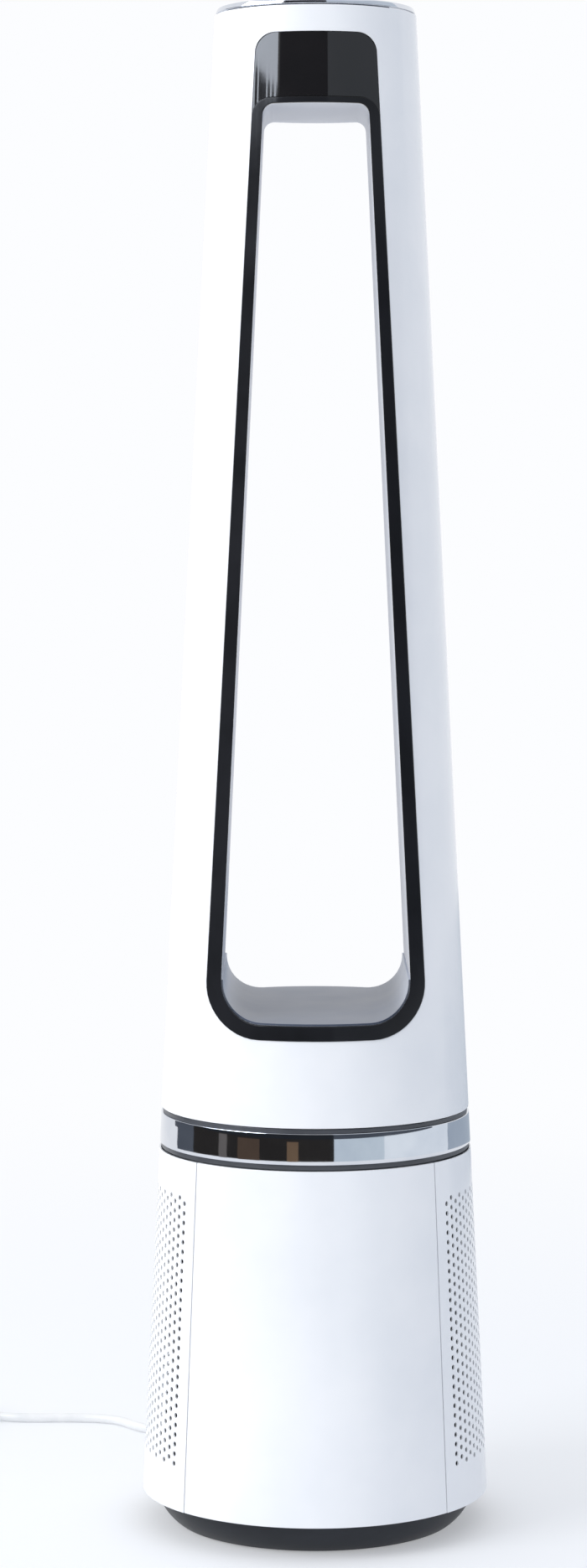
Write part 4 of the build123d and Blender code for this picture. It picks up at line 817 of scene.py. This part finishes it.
perforation = {
    "columns": 31, "rows": 28,
    "firstAngle": 54.5, "lastAngle": 151.5,  # degrees from the front to the first and the last column
    "firstZ": 54.5 * mm, "pitch": 6.61 * mm,
    "holeRadius": 1.75 * mm,
    "wall": 1.0 * mm,
    "margin": 6,  # plain cells past each side of the pattern, enough to reach the cover's edges
}


def cellMesh(name, holed):
    # one cell, a unit wide and a unit high, with its hole round once it lies on the cover:
    # eight points round the rim, then twelve round the hole or one in the middle
    arc = math.radians((perforation["lastAngle"] - perforation["firstAngle"]) / (perforation["columns"] - 1))
    across = perforation["holeRadius"] / (coneRadius((skirtZ + coverTopZ) / 2) * arc)
    up = perforation["holeRadius"] / perforation["pitch"]
    rim = [(0.5, 0), (0.5, 0.5), (0, 0.5), (-0.5, 0.5), (-0.5, 0), (-0.5, -0.5), (0, -0.5), (0.5, -0.5)]
    points = [(x, y, 0) for x, y in rim]
    faces = []
    if holed:
        for step in range(12):
            angle = math.radians(30 * step)
            points.append((across * math.cos(angle), up * math.sin(angle), 0))
        for quarter in range(4):
            a, b, c = 2 * quarter, 2 * quarter + 1, (2 * quarter + 2) % 8
            h = [8 + (3 * quarter + k) % 12 for k in range(4)]
            faces += [(a, b, h[1], h[0]), (b, h[2], h[1]), (b, c, h[3], h[2])]
    else:
        points.append((0, 0, 0))
        faces = [(8, (2 * q) % 8, (2 * q + 1) % 8, (2 * q + 2) % 8) for q in range(4)]
    mesh = bpy.data.meshes.new(name)
    mesh.from_pydata(points, [], faces)
    cell = bpy.data.objects.new(name, mesh)
    bpy.context.scene.collection.objects.link(cell)
    return cell


openCell = cellMesh("open_cell", True)
plainCell = cellMesh("plain_cell", False)


def perforatedTree():
    # staggered cells are set out flat, joined, and wrapped round the cone; cells past an edge fold up on it
    tree = bpy.data.node_groups.new("perforatedWall", "GeometryNodeTree")
    for name, kind in [
        ("Open Cell", "Object"), ("Plain Cell", "Object"), ("Finish", "Material"),
        ("Columns", "Int"), ("Rows", "Int"), ("Margin", "Int"),
        ("First Angle", "Float"), ("Column Angle", "Float"), ("Start Angle", "Float"), ("End Angle", "Float"),
        ("First Height", "Float"), ("Row Pitch", "Float"), ("Low", "Float"), ("High", "Float"),
        ("Foot Radius", "Float"), ("Foot Height", "Float"), ("Taper", "Float"),
    ]:
        tree.interface.new_socket(name=name, in_out="INPUT", socket_type="NodeSocket" + kind)
    tree.interface.new_socket(name="Geometry", in_out="OUTPUT", socket_type="NodeSocketGeometry")
    given = addNode(tree, "NodeGroupInput").outputs
    maths = "ShaderNodeMath"
    plus, minus, times, over = ({"operation": word} for word in ("ADD", "SUBTRACT", "MULTIPLY", "DIVIDE"))
    above, below = {"operation": "GREATER_THAN"}, {"operation": "LESS_THAN"}
    atLeast, atMost = {"operation": "MAXIMUM"}, {"operation": "MINIMUM"}

    # each point's column and row, counted from the first hole; the margin's cells have none
    margins = addNode(tree, maths, times, (given["Margin"], 2.0))
    allColumns = addNode(tree, maths, plus, (given["Columns"], margins))
    allRows = addNode(tree, maths, plus, (given["Rows"], margins))
    index = addNode(tree, "GeometryNodeInputIndex")
    columnsSoFar = addNode(tree, maths, over, (addNode(tree, maths, plus, (index, 0.5)), allRows))
    wholeColumns = addNode(tree, maths, {"operation": "FLOOR"}, (columnsSoFar,))
    column = addNode(tree, maths, minus, (wholeColumns, given["Margin"]))
    rowFromFoot = addNode(tree, maths, {"operation": "MODULO"}, (index, allRows))
    row = addNode(tree, maths, minus, (rowFromFoot, given["Margin"]))
    odd = addNode(tree, maths, {"operation": "FLOORED_MODULO"}, (column, 2.0))
    stagger = addNode(tree, maths, plus, (row, addNode(tree, maths, times, (odd, 0.5))))
    spot = addNode(tree, "ShaderNodeCombineXYZ", None, {"X": column, "Y": stagger})
    count = addNode(tree, maths, times, (allColumns, allRows))
    points = addNode(tree, "GeometryNodePoints", None, {"Count": count, "Position": spot})

    # a hole in every cell inside the pattern
    afterFirst = addNode(tree, maths, above, (column, -0.5))
    beforeLast = addNode(tree, maths, below, (column, given["Columns"]))
    aboveFoot = addNode(tree, maths, above, (row, -0.5))
    belowTop = addNode(tree, maths, below, (addNode(tree, maths, plus, (row, 0.5)), given["Rows"]))
    inColumns = addNode(tree, maths, times, (afterFirst, beforeLast))
    inRows = addNode(tree, maths, times, (aboveFoot, belowTop))
    inside = addNode(tree, maths, times, (inColumns, inRows))
    outside = addNode(tree, maths, minus, (1.0, inside))
    joined = addNode(tree, "GeometryNodeJoinGeometry")
    for cell, chosen in (("Open Cell", inside), ("Plain Cell", outside)):
        shape = addNode(tree, "GeometryNodeObjectInfo", None, {"Object": given[cell]})
        laid = addNode(tree, "GeometryNodeInstanceOnPoints", None, {
            "Points": points, "Selection": chosen, "Instance": shape.outputs["Geometry"],
        })
        tree.links.new(laid.outputs[0], joined.inputs[0])
    flat = addNode(tree, "GeometryNodeRealizeInstances", None, {"Geometry": joined})
    sewn = addNode(tree, "GeometryNodeMergeByDistance", None, {"Geometry": flat, "Distance": 0.01})

    # columns turn into angles and rows into heights, kept between the cover's edges
    where = addNode(tree, "GeometryNodeInputPosition")
    here = addNode(tree, "ShaderNodeSeparateXYZ", None, {"Vector": where}).outputs
    swing = addNode(tree, maths, times, (here["X"], given["Column Angle"]))
    turn = addNode(tree, maths, plus, (given["First Angle"], swing))
    turn = addNode(tree, maths, atLeast, (turn, given["Start Angle"]))
    turn = addNode(tree, maths, atMost, (turn, given["End Angle"]))
    climb = addNode(tree, maths, times, (here["Y"], given["Row Pitch"]))
    rise = addNode(tree, maths, plus, (given["First Height"], climb))
    rise = addNode(tree, maths, atLeast, (rise, given["Low"]))
    rise = addNode(tree, maths, atMost, (rise, given["High"]))
    aboveSkirt = addNode(tree, maths, minus, (rise, given["Foot Height"]))
    drop = addNode(tree, maths, times, (aboveSkirt, given["Taper"]))
    radius = addNode(tree, maths, minus, (given["Foot Radius"], drop))
    across = addNode(tree, maths, times, (radius, addNode(tree, maths, {"operation": "SINE"}, (turn,))))
    forward = addNode(tree, maths, times, (radius, addNode(tree, maths, {"operation": "COSINE"}, (turn,))))
    back = addNode(tree, maths, times, (forward, -1.0))
    wrapped = addNode(tree, "ShaderNodeCombineXYZ", None, {"X": across, "Y": back, "Z": rise})
    placed = addNode(tree, "GeometryNodeSetPosition", None, {"Geometry": sewn, "Position": wrapped})
    closed = addNode(tree, "GeometryNodeMergeByDistance", None, {"Geometry": placed, "Distance": 0.02 * mm})
    solid = addNode(tree, "GeometryNodeRealizeInstances", None, {"Geometry": closed})
    finished = addNode(tree, "GeometryNodeSetMaterial", None, {
        "Geometry": solid, "Material": given["Finish"],
    })
    addNode(tree, "NodeGroupOutput", None, {"Geometry": finished})
    return tree


wallTree = perforatedTree()


def perforatedCover(name, hand, node):
    # hand is 1 on the right and -1 on the left; the cover's body has its node's name
    columnAngle = (perforation["lastAngle"] - perforation["firstAngle"]) / (perforation["columns"] - 1)
    start, end = panels["half"] + panels["seam"], 180 - panels["spineHalf"] - panels["seam"]
    mesh = bpy.data.meshes.new(name)
    holder = bpy.data.objects.new(name, mesh)
    bpy.context.scene.collection.objects.link(holder)
    modifier = holder.modifiers.new("perforation", "NODES")
    modifier.node_group = wallTree
    values = {
        "Open Cell": openCell, "Plain Cell": plainCell, "Finish": finishOf["white_abs"],
        "Columns": perforation["columns"], "Rows": perforation["rows"], "Margin": perforation["margin"],
        "First Angle": hand * math.radians(perforation["firstAngle"]),
        "Column Angle": hand * math.radians(columnAngle),
        "Start Angle": math.radians(start if hand > 0 else -end),
        "End Angle": math.radians(end if hand > 0 else -start),
        "First Height": perforation["firstZ"], "Row Pitch": perforation["pitch"],
        "Low": skirtZ, "High": coverTopZ,
        "Foot Radius": skirtRadius, "Foot Height": skirtZ, "Taper": taper,
    }
    for item in wallTree.interface.items_tree:
        if item.in_out == "INPUT":
            modifier[item.identifier] = values[item.name]
    thick = holder.modifiers.new("wall", "SOLIDIFY")
    thick.thickness = perforation["wall"]
    thick.offset = -1.0 * hand
    graph = bpy.context.evaluated_depsgraph_get()
    made = bpy.data.meshes.new_from_object(holder.evaluated_get(graph))
    bpy.data.objects.remove(holder)
    made.name = name
    smoothMesh(made, 35)
    return keepPiece(name, made, "white_abs", node, (node,))


for hand, side in ((1, "right"), (-1, "left")):
    cover = perforatedCover(f"{side}_perforated_cover", hand, f"{side}_cover")
    print(side, "cover faces:", len(cover.data.polygons))
for cell in (openCell, plainCell):
    bpy.data.objects.remove(cell)

# felt round each filter
net = {"clearance": 0.3 * mm, "wall": 0.6 * mm, "endAngle": 2.6, "margin": 4 * mm, "columns": 60}


def feltNet(name, side, hand):
    frameNode = f"{side}_filter_frame"
    outer = highCorner(frameNode).x if hand > 0 else -lowCorner(frameNode).x
    low = lowCorner(frameNode).z + net["margin"]
    high = highCorner(frameNode).z - net["margin"]
    first = panels["half"] + panels["seam"] + net["endAngle"]
    last = 180 - panels["spineHalf"] - panels["seam"] - net["endAngle"]
    angles = anglesBetween(first, last, net["columns"])
    sheets = []
    for radius in (outer + net["clearance"] + net["wall"], outer + net["clearance"]):
        line = [(hand * radius * math.sin(angle), -radius * math.cos(angle)) for angle in angles]
        sheets.append([[(x, y, z) for x, y in line] for z in (low, high)])
    mesh = thickSheet(name, sheets[0], sheets[1], False)
    keepPiece(name, mesh, "filter_paper", f"{side}_filter", (), "carbon_net")


for hand, side in ((1, "right"), (-1, "left")):
    feltNet(f"{side}_carbon_net", side, hand)
print("filter nets made")


rings = {
    "bore": 104 * mm, "boreEdge": 0.1 * mm, "steps": 240,
    "bandRounding": 0.45 * mm, "darkRounding": 0.4 * mm, "darkInset": 1.2 * mm,
}


def ringPiece(name, node, slot, rounding, inset):
    # a ring whose outside follows the cone, with rounded outer edges
    low, high, bore = lowCorner(node).z, highCorner(node).z, rings["bore"]
    corners = [(bore, low), (coneRadius(low, -inset), low), (coneRadius(high, -inset), high), (bore, high)]
    radii = [rings["boreEdge"], rounding, rounding, rings["boreEdge"]]
    profile = roundedLoop(corners, radii, 4, [2, 4, 2, 2])
    mesh = turnedMesh(name, [(p.x, p.y) for p in profile], rings["steps"])
    keepPiece(name, mesh, slot, "base", (node,))


ringPiece("chrome_band", "trim_band", "chrome_plate", rings["bandRounding"], 0.0)
ringPiece("lower_dark_ring", "band_lower_ring", "dark_ring", rings["darkRounding"], rings["darkInset"])
ringPiece("upper_dark_ring", "band_upper_ring", "dark_ring", rings["darkRounding"], rings["darkInset"])
print("rings made")

crown = {
    "ringRounding": 0.9 * mm,
    "capRounding": 1.4 * mm,
    "capEdgeZ": highCorner("top_ring").z - 0.4 * mm,
    "capWall": 2.0 * mm,
    "footInset": 2.0 * mm,
    "lipInset": 0.5 * mm,
    "leanInset": 1.6 * mm,
    "lipHeight": 3.6 * mm,
    "lipRounding": 0.5 * mm,
    "skirtWall": 1.5 * mm,
    "smallEdge": 0.1 * mm,
    "boreEdge": 0.2 * mm,
    "capGap": 0.15 * mm,
    "capFoot": 1.0 * mm,
    "domeSteps": 33,
    "rollSteps": 6,
}


def topRingMesh():
    bore, rim = highCorner("touch_cap").x, coneRadius(rimZ)
    high, low = highCorner("top_ring").z, lowCorner("top_ring").z
    skirt, foot, lip = bore + crown["skirtWall"], rim - crown["footInset"], high - crown["lipHeight"]
    corners = [
        (bore, low), (skirt, low), (skirt, rimZ), (foot, rimZ),
        (foot, lip), (rim - crown["lipInset"], lip), (rim - crown["leanInset"], high), (bore, high),
    ]
    radii = [crown["smallEdge"]] * 5 + [crown["lipRounding"], crown["ringRounding"], crown["boreEdge"]]
    profile = roundedLoop(corners, radii, 4, [1] * len(corners))
    return turnedMesh("bright_top_ring", [(p.x, p.y) for p in profile], rings["steps"])


def capMesh():
    # a shallow dome whose edge rolls over into a short skirt
    top, edge, wall = highCorner("touch_cap").z, crown["capEdgeZ"], crown["capWall"]
    radius = highCorner("touch_cap").x - crown["capGap"]
    foot = lowCorner("touch_cap").z + crown["capFoot"]
    rise = top - edge
    dome = (radius ** 2 + rise ** 2) / (2 * rise)  # radius of the sphere that the dome is part of
    full = math.asin(radius / dome)
    roll = crown["capRounding"]
    profile = []
    for step in range(crown["domeSteps"]):
        angle = full * step / crown["domeSteps"]
        profile.append((dome * math.sin(angle), top - dome + dome * math.cos(angle)))
    profile = [p for p in profile if p[0] < radius - roll]
    for step in range(crown["rollSteps"] + 1):
        angle = full + (math.pi / 2 - full) * step / crown["rollSteps"]
        profile.append((radius - roll + roll * math.sin(angle), edge - roll + roll * math.cos(angle)))
    profile += [(radius, foot), (radius - wall, foot), (radius - wall, edge - wall), (0.0, edge - wall)]
    return turnedMesh("domed_touch_cap", profile, rings["steps"])


keepPiece("bright_top_ring", topRingMesh(), "chrome_plate", "tower", ("top_ring",))
keepPiece("domed_touch_cap", capMesh(), "black_gloss", "tower", ("touch_cap",))
print("top made")


def stageMesh(name, points, faces):
    mesh = bpy.data.meshes.new(name)
    mesh.from_pydata(points, [], faces)
    thing = bpy.data.objects.new(name, mesh)
    bpy.context.scene.collection.objects.link(thing)
    return thing


def glowingCard(name, colour, strength):
    material = bpy.data.materials.new(name)
    material.use_nodes = True
    shader = material.node_tree.nodes["Principled BSDF"]
    shader.inputs["Base Color"].default_value = linearColour("#000000")
    shader.inputs["Roughness"].default_value = 0.6
    shader.inputs["Specular IOR Level"].default_value = 0.0
    shader.inputs["Emission Color"].default_value = linearColour(colour)
    shader.inputs["Emission Strength"].default_value = strength
    return material


backdropColour = "#FCFDFF"
floorLook = {  # near and far are distances, in metres, from the plain floor to the full backdrop; the share of painted glow kept near the object lightens the floor and its shadow there
    "size": 30.0, "colour": "#F0F3F8", "rough": 0.75, "specular": 0.2,
    "near": 0.35, "far": 1.9, "nearGlowShare": 0.35,
}


def floorFinish(look):  # matte white sweep mixed with a painted glow: part glow near the object, which lightens the floor and its shadow, and full glow away from it, where it becomes the backdrop
    material = bpy.data.materials.new("paleSweepPaintedGlow")
    material.use_nodes = True
    tree = material.node_tree
    shader = tree.nodes["Principled BSDF"]
    shader.inputs["Base Color"].default_value = linearColour(look["colour"])
    shader.inputs["Roughness"].default_value = look["rough"]
    shader.inputs["Specular IOR Level"].default_value = look["specular"]
    spot = addNode(tree, "ShaderNodeTexCoord").outputs["Object"]
    away = addNode(tree, "ShaderNodeVectorMath", {"operation": "LENGTH"}, {"Vector": spot}).outputs["Value"]
    share = addNode(tree, "ShaderNodeMapRange", {"interpolation_type": "SMOOTHSTEP"}, {
        "Value": away, "From Min": look["near"], "From Max": look["far"],
        "To Min": look["nearGlowShare"], "To Max": 1.0,
    })
    backdrop = linearColour(backdropColour)
    glow = addNode(tree, "ShaderNodeEmission", None, {"Color": backdrop, "Strength": 1.0})
    blend = addNode(tree, "ShaderNodeMixShader", None, {"Fac": share.outputs["Result"]})
    tree.links.new(shader.outputs["BSDF"], blend.inputs[1])
    tree.links.new(glow.outputs["Emission"], blend.inputs[2])
    tree.links.new(blend.outputs["Shader"], tree.nodes["Material Output"].inputs["Surface"])
    return material


reach = floorLook["size"]
floorCorners = [(-reach, -reach, 0), (reach, -reach, 0), (reach, reach, 0), (-reach, reach, 0)]
floor = stageMesh("floor", floorCorners, [(0, 1, 2, 3)])
floor.data.materials.append(floorFinish(floorLook))

# cards round the set: two angles from the front, two heights, radius, colour, strength, what sees them
cards = {
    "dark_front": (-40, 13, -0.5, 3.4, 3.0, "#272A2F", 1.0, "gloss"),
    "dark_left": (-100, -40, -0.5, 1.58, 3.0, "#272A2F", 1.0, "gloss"),
    "dim_left": (-126, -100, -0.5, 1.58, 3.0, "#5A5E66", 1.0, "gloss"),
    "grey_right": (13, 112, 1.35, 3.4, 3.0, "#CDD6E0", 1.0, "gloss"),
    "dim_right": (13, 95, -0.5, 1.35, 3.0, "#4E535C", 1.0, "gloss"),
    "tall_softbox": (-96, -42, 1.5, 3.2, 3.0, "#EAF2FF", 10.0, "gloss"),
    "shade_right": (14, 118, -0.5, 3.4, 3.0, "#A8B1C0", 1.0, "diffuse"),
    "low_dark": (-98.6, 13, 0.0, 0.3, 1.5, "#2C2A29", 1.0, "gloss"),
    "low_grey": (-120, -98.6, 0.0, 0.3, 1.5, "#565B64", 1.0, "gloss"),
    "low_pale": (13, 50, 0.0, 0.3, 1.5, "#D0DBE4", 1.0, "gloss"),
    "low_light": (50, 112, 0.0, 0.3, 1.5, "#F0F6FC", 1.0, "gloss"),
    "low_blue": (112, 178, 0.0, 0.3, 1.5, "#ACB7C4", 1.0, "gloss"),
    "shelf_grey": (-73, -66, 0.0, 0.28, 1.45, "#6A6664", 1.0, "gloss"),
    "shelf_brown": (-57, -40, 0.0, 0.24, 1.45, "#54463C", 1.0, "gloss"),
    "shelf_tan": (-20, -12, 0.0, 0.2, 1.45, "#75604D", 1.0, "gloss"),
}


def curvedCard(name, first, last, low, high, radius, colour, strength, seenBy):
    steps = 12
    points = []
    for step in range(steps + 1):
        angle = math.radians(first + (last - first) * step / steps)
        for z in (low, high):
            points.append((radius * math.sin(angle), -radius * math.cos(angle), z))
    faces = [(2 * s, 2 * s + 1, 2 * s + 3, 2 * s + 2) for s in range(steps)]
    card = stageMesh(name, points, faces)
    card.data.materials.append(glowingCard(name, colour, strength))
    card.visible_camera = card.visible_shadow = card.visible_transmission = False
    card.visible_diffuse = seenBy == "diffuse"
    card.visible_glossy = seenBy == "gloss"


for name, values in cards.items():
    curvedCard(name, *values)

lamps = {  # name: place, aim, size, watts, colour
    "key_left": ((-2.4, -1.5, 2.0), (0, 0, 0.55), 1.6, 40.0, "#FFFFFF"),
}
for name, (place, aim, size, power, colour) in lamps.items():
    lamp = bpy.data.lights.new(name, "AREA")
    lamp.shape = "SQUARE"
    lamp.size = size
    lamp.energy = power
    lamp.color = linearColour(colour)[:3]
    holder = bpy.data.objects.new(name, lamp)
    holder.location = place
    holder.rotation_euler = (Vector(aim) - Vector(place)).to_track_quat("-Z", "Y").to_euler()
    holder.visible_camera = False
    bpy.context.scene.collection.objects.link(holder)

world = bpy.data.worlds.new("studio")
world.use_nodes = True
backdrop = world.node_tree.nodes["Background"]
backdrop.inputs["Color"].default_value = linearColour(backdropColour)
backdrop.inputs["Strength"].default_value = 1.0
bpy.context.scene.world = world
print("stage set")
